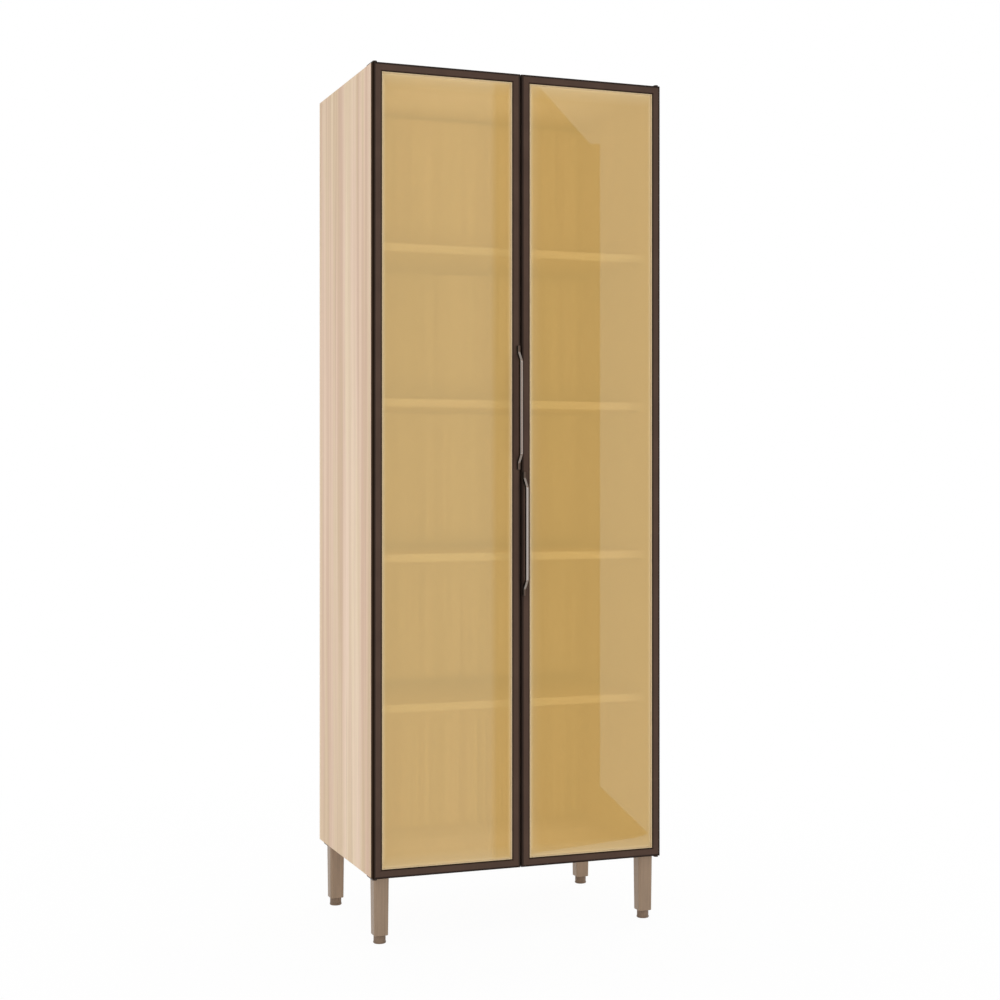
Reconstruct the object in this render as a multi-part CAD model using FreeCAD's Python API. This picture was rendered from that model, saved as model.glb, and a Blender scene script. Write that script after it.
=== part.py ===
import FreeCAD, Part
import math
import os

from FreeCAD import Vector

# Two-door glass display bookcase on four legs.
# Frame: millimetres, +Z up, the doors face -Y, the origin is on the floor under the middle.

# Carcass of wood panels
cabinet_width = 700.0
carcass_height = 1810.0
carcass_depth = 446.0
panel_thickness = 18.0
back_panel_thickness = 6.0
back_panel_inset = 14.0
back_groove_depth = 6.0
back_groove_clearance = 0.2

# Shelves and the pins that carry them
shelf_thickness = 18.0
shelf_top_shares = (0.2088, 0.3959, 0.5895, 0.7827)
shelf_setback = 30.0
shelf_end_clearance = 0.5
shelf_back_clearance = 1.0
shelf_edge_radius = 1.0
shelf_pin_radius = 2.5
shelf_pin_depth = 8.5
shelf_pin_reach = 9.0
shelf_pin_inset = 45.0

# Dowels that join the top and bottom panels to the sides
dowel_count = 3
dowel_radius = 4.0
dowel_engagement = 11.0
dowel_length = 30.0
dowel_front_inset = 70.0
dowel_rear_inset = 100.0

# Countersunk screws that hold every plate to the panels
screw_head_radius = 3.5
screw_head_height = 1.75
screw_shank_radius = 1.75
screw_length = 16.0

# Legs, their plates, studs and levelling feet
leg_height = 150.0
leg_side_inset = 26.0
front_leg_inset = 18.0
rear_leg_inset = 55.0
leg_top_width = 35.5
leg_bottom_width = 33.0
leg_corner_radius = 6.0
leg_plate_thickness = 2.5
leg_plate_margin = 1.5
leg_plate_screw_margin = 13.5
plate_corner_radius = 4.0
stud_radius = 4.0
stud_in_leg = 15.0
stud_in_panel = 10.0
foot_height = 18.6
foot_radius = 13.6
foot_pad_radius = 14.4
foot_pad_height = 4.0
foot_pad_chamfer = 1.2
foot_stem_radius = 4.0
foot_stem_engagement = 21.0
foot_travel = 15.0
foot_bore_spare = 10.0

# Door frames of mitred hollow bars
door_thickness = 20.0
swing_clearance = 0.34
meeting_gap = 3.0
frame_face = 20.0
frame_box_width = 12.0
frame_wall = 1.8
frame_lip = 2.2
frame_outer_radius = 2.5
frame_inner_radius = 2.0
frame_rear_radius = 0.6
rear_lip_reach = 6.0
rear_lip_thickness = 1.5

# Glass and the gasket round it
glass_thickness = 4.0
glass_bed = 2.0
gasket_wall = 2.0
gasket_bead_reach = 2.5
gasket_bead_front = 1.2
gasket_bead_radius = 0.7

# Corner cleats inside the frame bars
cleat_leg = 48.0

# Pivot hinges at the top and bottom of each outer stile
pivot_pin_engagement = 13.0
pivot_end_play = 0.4
bush_wall = 0.75
bush_side_gap = 0.4
bush_length = 15.0
bush_flange_margin = 0.6
bush_flange = 1.0
tongue_half_width = 5.0
tongue_inner_radius = 3.0
pivot_bracket_thickness = 2.0
pivot_bracket_length = 48.0
pivot_bracket_depth = 40.0
pivot_screw_margin = 10.0

# Bow handles on the meeting stiles
handle_length = 282.0
handle_projection = 22.0
handle_width = 8.0
handle_thickness = 6.0
handle_foot = 16.0
handle_slope_run = 20.0
handle_bend_radius = 9.0
handle_crown_radius = 2.6
handle_edge_distance = 5.5
handle_spacing = 5.0
handle_screw_radius = 2.0
handle_screw_head_radius = 3.5
handle_screw_head = 2.2
handle_screw_engagement = 4.5

# Magnetic catch, strike plates and door bumpers
catch_width = 24.0
catch_ear = 9.0
catch_ear_thickness = 3.0
catch_depth = 22.0
catch_height = 14.0
catch_edge_radius = 1.5
catch_air_gap = 0.3
magnet_width = 9.0
magnet_height = 6.0
magnet_length = 17.0
strike_width = 10.0
strike_height = 16.0
strike_thickness = 1.2
bumper_radius = 4.0
bumper_distance = 40.0

# Sides of the small rods that repeat: dowels, shelf pins, studs, screws and bumpers
small_rod_sides = 8

# Clearances: a running fit turns or slides, a static fit is assembled once
running_clearance = 0.05
static_clearance = 0.05
loose_clearance = 0.15

# Planes, lines and fits that follow from the sizes above
pivot_inset = frame_box_width / 2
bush_radius = pivot_inset - frame_wall - bush_side_gap
bush_flange_radius = pivot_inset - bush_flange_margin
pivot_pin_radius = bush_radius - bush_wall - running_clearance
door_gap = math.hypot(pivot_inset, door_thickness / 2) - door_thickness / 2 + swing_clearance
side_plane = cabinet_width / 2
total_depth = handle_projection + door_thickness + door_gap + carcass_depth
door_front = handle_projection - total_depth / 2
door_back = door_front + door_thickness
carcass_front = door_back + door_gap
carcass_back = carcass_front + carcass_depth
carcass_bottom = leg_height
carcass_top = carcass_bottom + carcass_height
inner_side = side_plane - panel_thickness
inner_bottom = carcass_bottom + panel_thickness
inner_top = carcass_top - panel_thickness
back_panel_rear = carcass_back - back_panel_inset
back_panel_front = back_panel_rear - back_panel_thickness
leg_top = carcass_bottom - leg_plate_thickness
leg_column = side_plane - leg_side_inset
foot_stem_length = foot_stem_engagement + foot_travel
front_leg_row = carcass_front + front_leg_inset
rear_leg_row = carcass_back - rear_leg_inset
first_dowel_row = carcass_front + dowel_front_inset
dowel_pitch = (carcass_depth - dowel_front_inset - dowel_rear_inset) / (dowel_count - 1)
door_bottom = carcass_bottom + bush_flange
door_top = carcass_top - bush_flange - pivot_end_play
door_height = door_top - door_bottom
door_outer = -side_plane
door_meeting = -meeting_gap / 2
door_width = door_meeting - door_outer
door_middle = (door_outer + door_meeting) / 2
door_mid_height = (door_bottom + door_top) / 2
groove_width = glass_thickness + 2 * gasket_wall
glass_front = frame_lip + gasket_wall
pivot_row = door_front + door_thickness / 2
handle_line = door_meeting - handle_edge_distance
catch_front = door_back + strike_thickness + catch_air_gap

LEFT_TO_RIGHT = Vector(1, 0, 0)
FRONT_TO_BACK = Vector(0, 1, 0)
UP = Vector(0, 0, 1)
DOWN = Vector(0, 0, -1)


def box(x_range, y_range, z_range):
    """Block between two planes on each axis."""
    low = Vector(x_range[0], y_range[0], z_range[0])
    sizes = [span[1] - span[0] for span in (x_range, y_range, z_range)]
    return Part.makeBox(sizes[0], sizes[1], sizes[2], low)


def rod(radius, start, direction, length):
    """Round rod from a point along a direction."""
    return Part.makeCylinder(radius, length, start, direction)


def flat_sided_rod(half_width, start, direction, length, end_half_width=None):
    """Straight or tapered rod with flat sides, for the small pieces that repeat."""
    end_half_width = end_half_width or half_width
    turn = FreeCAD.Rotation(UP, direction)
    rings = []
    for height, half in ((0, half_width), (length, end_half_width)):
        reach = half / math.cos(math.pi / small_rod_sides)
        angles = [math.pi * (2 * side + 1) / small_rod_sides for side in range(small_rod_sides)]
        ring = [Vector(reach * math.cos(angle), reach * math.sin(angle), height) for angle in angles]
        corners = [start + turn.multVec(corner) for corner in ring]
        rings.append(Part.makePolygon(corners + corners[:1]))
    return Part.makeLoft(rings, True, True)


def mirrored(shape, plane_x=0.0):
    """The same shape on the other side of the upright plane at x = plane_x."""
    return shape.mirror(Vector(plane_x, 0, 0), LEFT_TO_RIGHT)


def both_sides(shapes):
    """Shapes of the left side with their twins on the right."""
    return shapes + [mirrored(shape) for shape in shapes]


def turned_over(shape, plane_z):
    """The same shape on the other side of the level plane at z = plane_z."""
    return shape.mirror(Vector(0, 0, plane_z), UP)


def rounded_edges(corners, closed):
    """Edges through corners (u, v, radius); each radius is a tangent arc in its corner."""
    count = len(corners)
    points = [Vector(u, v, 0) for u, v, radius in corners]
    turns = []
    for index, (u, v, radius) in enumerate(corners):
        here = points[index]
        at_end = not closed and index in (0, count - 1)
        if at_end or radius == 0:
            turns.append((here, here, here))
            continue
        back = (points[index - 1] - here).normalize()
        ahead = (points[(index + 1) % count] - here).normalize()
        half_angle = back.getAngle(ahead) / 2
        reach = radius / math.tan(half_angle)
        bulge = radius / math.sin(half_angle) - radius
        middle = here + (back + ahead).normalize() * bulge
        turns.append((here + back * reach, middle, here + ahead * reach))
    edges = []
    for index, (start, middle, finish) in enumerate(turns):
        if not start.isEqual(finish, 1e-6):
            edges.append(Part.Arc(start, middle, finish).toShape())
        last = index == count - 1
        if last and not closed:
            break
        following = turns[(index + 1) % count][0]
        if not finish.isEqual(following, 1e-6):
            edges.append(Part.LineSegment(finish, following).toShape())
    return edges


def outline(corners):
    """Closed flat wire in the XY plane with rounded corners."""
    return Part.Wire(rounded_edges(corners, True))


def slab(corners, low, high):
    """Plate with a rounded outline in plan between two heights."""
    face = Part.Face(outline(corners))
    face.translate(UP * low)
    return face.extrude(UP * (high - low))


def rounded_square(width, radius):
    """Corners of a square about the origin, all with one radius."""
    half = width / 2
    return [(-half, -half, radius), (half, -half, radius), (half, half, radius), (-half, half, radius)]


def upright_section(start_x):
    """Matrix that stands a section drawn as (y, z) on its plane and runs its length along +X."""
    return FreeCAD.Matrix(0, 0, 1, start_x, 1, 0, 0, 0, 0, 1, 0, 0, 0, 0, 0, 1)


def cut_all(shape, tools):
    """Shape with every tool taken out of it."""
    return shape.cut(Part.makeCompound(tools))


def panel_screw(head, direction, clearance=0.0):
    """Countersunk screw with the flat of its head at a point; a clearance makes it a hole cutter."""
    head_radius = screw_head_radius + clearance
    shank_radius = screw_shank_radius + clearance
    shank_length = screw_length - screw_head_height + clearance
    cone = flat_sided_rod(head_radius, head, direction, screw_head_height, shank_radius)
    neck = head + direction * screw_head_height
    return cone.fuse(flat_sided_rod(shank_radius, neck, direction, shank_length))


def screw_holes(places, direction):
    """Cutters for the screws at the places."""
    return [panel_screw(place, direction, static_clearance) for place in places]


# Places of the screws, shared by the plates and the panels


def left_leg_plate_screws():
    """Heads of the screws of the left leg plates, beside the legs' own footprint."""
    column = -leg_column + leg_top_width / 2 + leg_plate_screw_margin / 2
    return [Vector(column, row, leg_top) for row in (front_leg_row, rear_leg_row)]


def left_pivot_bracket_screws():
    """Heads of the two screws of the left top pivot bracket, both inside the top panel."""
    column = door_outer + pivot_bracket_length - pivot_screw_margin
    near = carcass_front + pivot_screw_margin
    far = carcass_front + pivot_bracket_depth - pivot_screw_margin
    height = carcass_top + pivot_bracket_thickness
    return [Vector(column, near, height), Vector(column, far, height)]


def catch_screws():
    """Heads of the screws through the ears of the catch, driven up into the top panel."""
    column = (catch_width + catch_ear) / 2
    row = catch_front + catch_depth / 2
    return [Vector(side * column, row, inner_top - catch_ear_thickness) for side in (-1, 1)]


def mirrored_places(places):
    """Places of the left side with their twins on the right."""
    return places + [Vector(-place.x, place.y, place.z) for place in places]


# Carcass panels, shelves and the pieces that join them


def dowels_left(clearance=0.0):
    """Dowels between the left side and the top and bottom panels; a clearance makes them hole cutters."""
    start = -inner_side - dowel_engagement
    heights = (carcass_bottom + panel_thickness / 2, carcass_top - panel_thickness / 2)
    rows = [first_dowel_row + dowel_pitch * index for index in range(dowel_count)]
    radius = dowel_radius + clearance
    length = dowel_length + clearance
    places = [Vector(start, row, height) for height in heights for row in rows]
    return [flat_sided_rod(radius, place, LEFT_TO_RIGHT, length) for place in places]


def shelf_tops():
    """Heights of the tops of the shelves, each a share of the carcass's height."""
    return [carcass_bottom + carcass_height * share for share in shelf_top_shares]


def shelf_pin_places():
    """Axis points of the left shelf pins on the inner face of the side."""
    shelf_front = carcass_front + shelf_setback
    rows = (shelf_front + shelf_pin_inset, back_panel_front - shelf_pin_inset)
    drop = shelf_thickness + shelf_pin_radius + static_clearance
    return [Vector(-inner_side, row, top - drop) for top in shelf_tops() for row in rows]


def shelf_pins_left():
    """Pins half in the side and half under the shelves."""
    length = shelf_pin_depth + shelf_pin_reach
    starts = [place - LEFT_TO_RIGHT * shelf_pin_depth for place in shelf_pin_places()]
    return [flat_sided_rod(shelf_pin_radius, start, LEFT_TO_RIGHT, length) for start in starts]


def back_panel_groove():
    """Cutter for the groove that holds the back panel on all four sides."""
    reach = back_groove_depth
    y_range = (back_panel_front - back_groove_clearance, back_panel_rear + back_groove_clearance)
    x_range = (-inner_side - reach, inner_side + reach)
    return box(x_range, y_range, (inner_bottom - reach, inner_top + reach))


def left_side_panel():
    """Full-height side with the back groove and the holes of the pins and dowels."""
    panel = box((-side_plane, -inner_side), (carcass_front, carcass_back), (carcass_bottom, carcass_top))
    radius = shelf_pin_radius + static_clearance
    depth = shelf_pin_depth + static_clearance
    pin_holes = [flat_sided_rod(radius, place, -LEFT_TO_RIGHT, depth) for place in shelf_pin_places()]
    return cut_all(panel, pin_holes + dowels_left(static_clearance) + [back_panel_groove()])


def level_panel(low, high, holes):
    """Top or bottom panel between the sides, with its dowel holes, back groove and own holes."""
    panel = box((-inner_side, inner_side), (carcass_front, carcass_back), (low, high))
    return cut_all(panel, both_sides(dowels_left(static_clearance)) + [back_panel_groove()] + holes)


def bottom_panel():
    """Bottom panel with the holes of the leg studs and the leg plate screws."""
    holes = screw_holes(mirrored_places(left_leg_plate_screws()), UP)
    for column, row in leg_places().values():
        start = Vector(column, row, carcass_bottom)
        depth = stud_in_panel + static_clearance
        holes.append(flat_sided_rod(stud_radius + static_clearance, start, UP, depth))
    return level_panel(carcass_bottom, inner_bottom, holes)


def top_panel():
    """Top panel with the holes of the bracket and catch screws."""
    bracket_holes = screw_holes(mirrored_places(left_pivot_bracket_screws()), DOWN)
    return level_panel(inner_top, carcass_top, bracket_holes + screw_holes(catch_screws(), UP))


def back_panel():
    """Thin back held in the grooves of the four panels."""
    reach = back_groove_depth - back_groove_clearance
    x_range = (-inner_side - reach, inner_side + reach)
    return box(x_range, (back_panel_front, back_panel_rear), (inner_bottom - reach, inner_top + reach))


def shelf(top):
    """Shelf between the sides with an eased front edge."""
    reach = inner_side - shelf_end_clearance
    front = carcass_front + shelf_setback
    rear = back_panel_front - shelf_back_clearance
    section = [
        (front, top - shelf_thickness, shelf_edge_radius),
        (rear, top - shelf_thickness, 0),
        (rear, top, 0),
        (front, top, shelf_edge_radius),
    ]
    board = Part.Face(outline(section)).extrude(UP * (2 * reach))
    return board.transformed(upright_section(-reach))


# Legs, their plates, studs and feet


def leg_places():
    """Plan position of every leg."""
    return {
        "front_left": (-leg_column, front_leg_row),
        "front_right": (leg_column, front_leg_row),
        "rear_left": (-leg_column, rear_leg_row),
        "rear_right": (leg_column, rear_leg_row),
    }


def leg(column, row):
    """Tapered leg with rounded corners, bored for the stud above and the foot's stem below."""
    low = outline(rounded_square(leg_bottom_width, leg_corner_radius))
    low.translate(Vector(column, row, foot_height))
    high = outline(rounded_square(leg_top_width, leg_corner_radius))
    high.translate(Vector(column, row, leg_top))
    body = Part.makeLoft([low, high], True, True)
    stud_foot = Vector(column, row, leg_top - stud_in_leg)
    stud_hole = flat_sided_rod(stud_radius + static_clearance, stud_foot, UP, stud_in_leg)
    bore_radius = foot_stem_radius + running_clearance
    bore = rod(bore_radius, Vector(column, row, foot_height), UP, foot_stem_length + foot_bore_spare)
    return cut_all(body, [stud_hole, bore])


def leg_stud(column, row):
    """Stud that joins a leg, its plate and the bottom panel."""
    length = stud_in_leg + leg_plate_thickness + stud_in_panel
    return flat_sided_rod(stud_radius, Vector(column, row, leg_top - stud_in_leg), UP, length)


def levelling_foot(column, row):
    """Turned foot with a wider pad and a stem in the leg."""
    pad_edge = foot_pad_radius - foot_pad_chamfer
    section = [
        (0, 0, 0),
        (pad_edge, 0, 0),
        (foot_pad_radius, foot_pad_chamfer, 0),
        (foot_pad_radius, foot_pad_height, 0),
        (foot_radius, foot_pad_height, 0),
        (foot_radius, foot_height, 0),
        (foot_stem_radius, foot_height, 0),
        (foot_stem_radius, foot_height + foot_stem_length, 0),
        (0, foot_height + foot_stem_length, 0),
    ]
    turned = Part.Face(outline(section)).revolve(Vector(0, 0, 0), FRONT_TO_BACK, 360)
    turned.rotate(Vector(0, 0, 0), LEFT_TO_RIGHT, 90)
    turned.translate(Vector(column, row, 0))
    return turned


def left_leg_plate(front):
    """Steel plate between a left leg and the carcass; the front one also carries the door's pivot."""
    inner_x = -leg_column + leg_top_width / 2 + leg_plate_screw_margin
    row = front_leg_row if front else rear_leg_row
    rear_y = row + leg_top_width / 2 + leg_plate_margin
    if front:
        plate = plate_with_tongue(inner_x, rear_y, leg_top, carcass_bottom)
    else:
        outer_x = door_outer + pivot_inset - tongue_half_width
        near_y = row - leg_top_width / 2 - leg_plate_margin
        corners = [
            (outer_x, near_y, plate_corner_radius),
            (inner_x, near_y, plate_corner_radius),
            (inner_x, rear_y, plate_corner_radius),
            (outer_x, rear_y, plate_corner_radius),
        ]
        plate = slab(corners, leg_top, carcass_bottom)
    stud_start = Vector(-leg_column, row, leg_top)
    stud_hole = flat_sided_rod(stud_radius + static_clearance, stud_start, UP, leg_plate_thickness)
    return cut_all(plate, [stud_hole] + screw_holes(left_leg_plate_screws(), UP))


# Pivot hinges of the left door


def pivot_point(height):
    """Point of the left door's pivot axis at a height."""
    return Vector(door_outer + pivot_inset, pivot_row, height)


def plate_with_tongue(inner_x, rear_y, low, high):
    """Left front plate in plan, with a tongue that reaches under or over the door's pivot."""
    outer_x = door_outer + pivot_inset - tongue_half_width
    tongue_x = door_outer + pivot_inset + tongue_half_width
    tip_y = pivot_row - tongue_half_width
    corners = [
        (outer_x, tip_y, tongue_half_width),
        (tongue_x, tip_y, tongue_half_width),
        (tongue_x, carcass_front, tongue_inner_radius),
        (inner_x, carcass_front, plate_corner_radius),
        (inner_x, rear_y, plate_corner_radius),
        (outer_x, rear_y, plate_corner_radius),
    ]
    pin_hole = rod(pivot_pin_radius + static_clearance, pivot_point(low), UP, high - low)
    return slab(corners, low, high).cut(pin_hole)


def left_pivot_bracket():
    """Steel plate on the top panel with a tongue over the door's pivot."""
    inner_x = door_outer + pivot_bracket_length
    rear_y = carcass_front + pivot_bracket_depth
    plate = plate_with_tongue(inner_x, rear_y, carcass_top, carcass_top + pivot_bracket_thickness)
    return cut_all(plate, screw_holes(left_pivot_bracket_screws(), DOWN))


def left_pivot_pins():
    """Pins riveted in the tongues of the bottom plate and the top bracket."""
    lower_length = leg_plate_thickness + bush_flange + pivot_pin_engagement
    upper_start = carcass_top + pivot_bracket_thickness
    upper_length = upper_start - door_top + pivot_pin_engagement
    return [
        rod(pivot_pin_radius, pivot_point(leg_top), UP, lower_length),
        rod(pivot_pin_radius, pivot_point(upper_start), DOWN, upper_length),
    ]


def bush_bodies(clearance=0.0):
    """Round bodies of the two pivot bushes of the left door, without their flanges."""
    radius = bush_radius + clearance
    length = bush_length + clearance
    return [
        rod(radius, pivot_point(door_bottom), UP, length),
        rod(radius, pivot_point(door_top), DOWN, length),
    ]


def pivot_bushes():
    """Flanged bushes in which the left door turns on its pins."""
    flanges = [
        rod(bush_flange_radius, pivot_point(door_bottom), DOWN, bush_flange),
        rod(bush_flange_radius, pivot_point(door_top), UP, bush_flange),
    ]
    bore_radius = pivot_pin_radius + running_clearance
    bore = rod(bore_radius, pivot_point(door_bottom - bush_flange), UP, door_height + 2 * bush_flange)
    return [body.fuse(flange).cut(bore) for body, flange in zip(bush_bodies(), flanges)]


# Frame, glass and gasket of the left door


def frame_section():
    """Hollow frame section: rounded face, glazing groove behind the lip, closed box at the edge."""
    groove_rear = frame_lip + groove_width
    rear_lip_back = groove_rear + rear_lip_thickness
    rear_lip_edge = frame_box_width + rear_lip_reach
    outer = outline([
        (0, 0, frame_outer_radius),
        (frame_face, 0, frame_inner_radius),
        (frame_face, frame_lip, 0),
        (frame_box_width, frame_lip, 0),
        (frame_box_width, groove_rear, 0),
        (rear_lip_edge, groove_rear, 0),
        (rear_lip_edge, rear_lip_back, 0),
        (frame_box_width, rear_lip_back, 0),
        (frame_box_width, door_thickness, frame_rear_radius),
        (0, door_thickness, frame_rear_radius),
    ])
    near = frame_wall
    far = frame_box_width - frame_wall
    deep = door_thickness - frame_wall
    chamber = outline([(near, near, 0), (far, near, 0), (far, deep, 0), (near, deep, 0)])
    return Part.Face(outer).cut(Part.Face(chamber)).Faces[0]


def gasket_section():
    """U section that grips the glass edge, with a bead that shows beside the frame's lip."""
    bed = frame_box_width + static_clearance
    slot = bed + glass_bed
    front = frame_lip + static_clearance
    rear = frame_lip + groove_width - static_clearance
    bead_start = frame_face + static_clearance
    bead_edge = frame_face + gasket_bead_reach
    glass_near = glass_front - static_clearance
    glass_far = glass_front + glass_thickness + static_clearance
    rear_edge = frame_box_width + rear_lip_reach
    return Part.Face(outline([
        (bed, front, 0),
        (bead_start, front, 0),
        (bead_start, gasket_bead_front, 0),
        (bead_edge, gasket_bead_front, gasket_bead_radius),
        (bead_edge, glass_near, 0),
        (slot, glass_near, 0),
        (slot, glass_far, 0),
        (rear_edge, glass_far, 0),
        (rear_edge, rear, 0),
        (bed, rear, 0),
    ]))


def mitred_bar(section, length):
    """Bar along +Z with 45 degree mitres at both ends; the section's u runs away from the door's edge."""
    bar = section.extrude(UP * length)
    reach = frame_face + frame_box_width
    corners = [(0, 0, 0), (reach, reach, 0), (reach, length - reach, 0), (0, length, 0)]
    keep = Part.Face(outline(corners)).extrude(UP * door_thickness)
    keep.rotate(Vector(0, 0, 0), LEFT_TO_RIGHT, 90)
    keep.translate(FRONT_TO_BACK * door_thickness)
    return bar.common(keep)


def framed(section):
    """Four mitred bars of one section round the left door: hinge stile, meeting stile, top, bottom."""
    hinge_stile = mitred_bar(section, door_height)
    hinge_stile.translate(Vector(door_outer, door_front, door_bottom))
    top_rail = mitred_bar(section, door_width)
    top_rail.rotate(Vector(0, 0, 0), FRONT_TO_BACK, 90)
    top_rail.translate(Vector(door_outer, door_front, door_top))
    return [
        hinge_stile,
        mirrored(hinge_stile, door_middle),
        top_rail,
        turned_over(top_rail, door_mid_height),
    ]


def corner_cleats():
    """L-shaped cleats pressed into the bars' chambers; those at the hinge side hold the pivot bushes."""
    near = frame_wall + loose_clearance
    far = frame_box_width - frame_wall - loose_clearance
    y_range = (door_front + near, door_back - near)
    upright = box((door_outer + near, door_outer + far), y_range, (door_top - cleat_leg, door_top - near))
    level = box((door_outer + near, door_outer + cleat_leg), y_range, (door_top - far, door_top - near))
    top_cleat = upright.fuse(level).removeSplitter()
    hinge_cleats = [top_cleat, turned_over(top_cleat, door_mid_height)]
    meeting_cleats = [mirrored(cleat, door_middle) for cleat in hinge_cleats]
    return [cut_all(cleat, bush_bodies(static_clearance)) for cleat in hinge_cleats] + meeting_cleats


def glass_pane():
    """Glass pane held all round in the gasket."""
    inset = frame_box_width + glass_bed + 2 * static_clearance
    y_range = (door_front + glass_front, door_front + glass_front + glass_thickness)
    x_range = (door_outer + inset, door_meeting - inset)
    return box(x_range, y_range, (door_bottom + inset, door_top - inset))


# Handle, strike plate and bumpers of the left door


def handle_low(above_middle):
    """Height of the lower end of a handle that stands above or below the door's middle."""
    middle = (carcass_bottom + carcass_top) / 2
    if above_middle:
        return middle + handle_spacing / 2
    return middle - handle_spacing / 2 - handle_length


def handle_screw_heights(low):
    """Heights of the two handle screws, in the middle of the feet."""
    return (low + handle_foot / 2, low + handle_length - handle_foot / 2)


def handle_screw_cutters(low, y_start, length):
    """Screw holes of a handle, from a plane towards the front."""
    radius = handle_screw_radius + static_clearance
    starts = [Vector(handle_line, y_start, height) for height in handle_screw_heights(low)]
    return [flat_sided_rod(radius, start, -FRONT_TO_BACK, length) for start in starts]


def bow_handle(low):
    """Crowned strap swept from its lower foot up a slope, along the grip and back to the upper foot."""
    foot_line = door_front - handle_thickness / 2
    grip_line = door_front - handle_projection + handle_thickness / 2
    slope_end = handle_foot + handle_slope_run
    stations = [
        (foot_line, low, 0),
        (foot_line, low + handle_foot, handle_bend_radius),
        (grip_line, low + slope_end, handle_bend_radius),
        (grip_line, low + handle_length - slope_end, handle_bend_radius),
        (foot_line, low + handle_length - handle_foot, handle_bend_radius),
        (foot_line, low + handle_length, 0),
    ]
    path = Part.Wire(rounded_edges(stations, False)).transformed(upright_section(handle_line))
    half_width = handle_width / 2
    half_thickness = handle_thickness / 2
    section = outline([
        (-half_width, -half_thickness, handle_crown_radius),
        (half_width, -half_thickness, handle_crown_radius),
        (half_width, half_thickness, 0),
        (-half_width, half_thickness, 0),
    ])
    section.translate(Vector(handle_line, foot_line, low))
    strap = path.makePipeShell([section], True, False)
    return cut_all(strap, handle_screw_cutters(low, door_front, handle_screw_engagement + static_clearance))


def handle_screws(low):
    """Screws from the door's back through the stile into the feet of the handle."""
    shank_length = door_thickness + handle_screw_engagement
    screws = []
    for height in handle_screw_heights(low):
        seat = Vector(handle_line, door_back, height)
        head = flat_sided_rod(handle_screw_head_radius, seat, FRONT_TO_BACK, handle_screw_head)
        shank = flat_sided_rod(handle_screw_radius, seat, -FRONT_TO_BACK, shank_length)
        screws.append(head.fuse(shank))
    return screws


def strike_plate():
    """Thin steel plate on the back of the meeting stile, opposite the catch."""
    column = door_meeting - frame_box_width / 2
    low = inner_top - catch_height / 2 - strike_height / 2
    x_range = (column - strike_width / 2, column + strike_width / 2)
    return box(x_range, (door_back, door_back + strike_thickness), (low, low + strike_height))


def bumpers():
    """Round bumpers on the rails that stop the door on the front edges of the carcass."""
    column = door_meeting - bumper_distance
    heights = (door_bottom + frame_box_width / 2, door_top - frame_box_width / 2)
    seats = [Vector(column, door_back, height) for height in heights]
    return [flat_sided_rod(bumper_radius, seat, FRONT_TO_BACK, door_gap) for seat in seats]


# Magnetic catch under the top panel


def magnets(clearance=0.0):
    """Two bar magnets side by side in the front of the catch; a clearance makes them pockets."""
    column = meeting_gap / 2 + frame_box_width / 2
    middle = inner_top - catch_height / 2
    half_width = magnet_width / 2 + clearance
    half_height = magnet_height / 2 + clearance
    y_range = (catch_front, catch_front + magnet_length + clearance)
    z_range = (middle - half_height, middle + half_height)
    columns = (-column, column)
    return [box((middle_x - half_width, middle_x + half_width), y_range, z_range) for middle_x in columns]


def catch_housing():
    """Moulded block under the top panel with two ears and two magnet pockets."""
    half = catch_width / 2
    reach = half + catch_ear
    low = inner_top - catch_height
    ear_low = inner_top - catch_ear_thickness
    section = [
        (-half, low, catch_edge_radius),
        (half, low, catch_edge_radius),
        (half, ear_low, catch_edge_radius),
        (reach, ear_low, 0),
        (reach, inner_top, 0),
        (-reach, inner_top, 0),
        (-reach, ear_low, 0),
        (-half, ear_low, catch_edge_radius),
    ]
    block = Part.Face(outline(section)).extrude(UP * catch_depth)
    block.rotate(Vector(0, 0, 0), LEFT_TO_RIGHT, 90)
    block.translate(FRONT_TO_BACK * (catch_front + catch_depth))
    return cut_all(block, magnets(static_clearance) + screw_holes(catch_screws(), UP))


# Assembly: every node is one file


def save(node, shapes):
    """Write one node as a single solid or as a group of solids."""
    solids = [solid for shape in shapes for solid in shape.Solids]
    shape = solids[0] if len(solids) == 1 else Part.makeCompound(solids)
    shape.exportStep("parts/" + node + ".step")


def carcass_nodes():
    """Panels, shelves, their pins, dowels and screws, and the catch."""
    left_side = left_side_panel()
    driven_up = mirrored_places(left_leg_plate_screws()) + catch_screws()
    driven_down = mirrored_places(left_pivot_bracket_screws())
    nodes = {
        "left_side_panel": [left_side],
        "right_side_panel": [mirrored(left_side)],
        "top_panel": [top_panel()],
        "bottom_panel": [bottom_panel()],
        "back_panel": [back_panel()],
        "shelf_pins": both_sides(shelf_pins_left()),
        "carcass_dowels": both_sides(dowels_left()),
        "catch_housing": [catch_housing()],
        "catch_magnets": magnets(),
        "panel_screws": [panel_screw(head, UP) for head in driven_up]
        + [panel_screw(head, DOWN) for head in driven_down],
    }
    for index, top in enumerate(shelf_tops()):
        nodes["shelf_" + str(index + 1)] = [shelf(top)]
    return nodes


def leg_nodes():
    """Legs, plates, studs and levelling feet."""
    nodes = {"leg_studs": [leg_stud(column, row) for column, row in leg_places().values()]}
    for place, (column, row) in leg_places().items():
        nodes[place + "_leg"] = [leg(column, row)]
        nodes[place + "_levelling_foot"] = [levelling_foot(column, row)]
    for place, front in (("front", True), ("rear", False)):
        plate = left_leg_plate(front)
        nodes[place + "_left_leg_plate"] = [plate]
        nodes[place + "_right_leg_plate"] = [mirrored(plate)]
    return nodes


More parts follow.
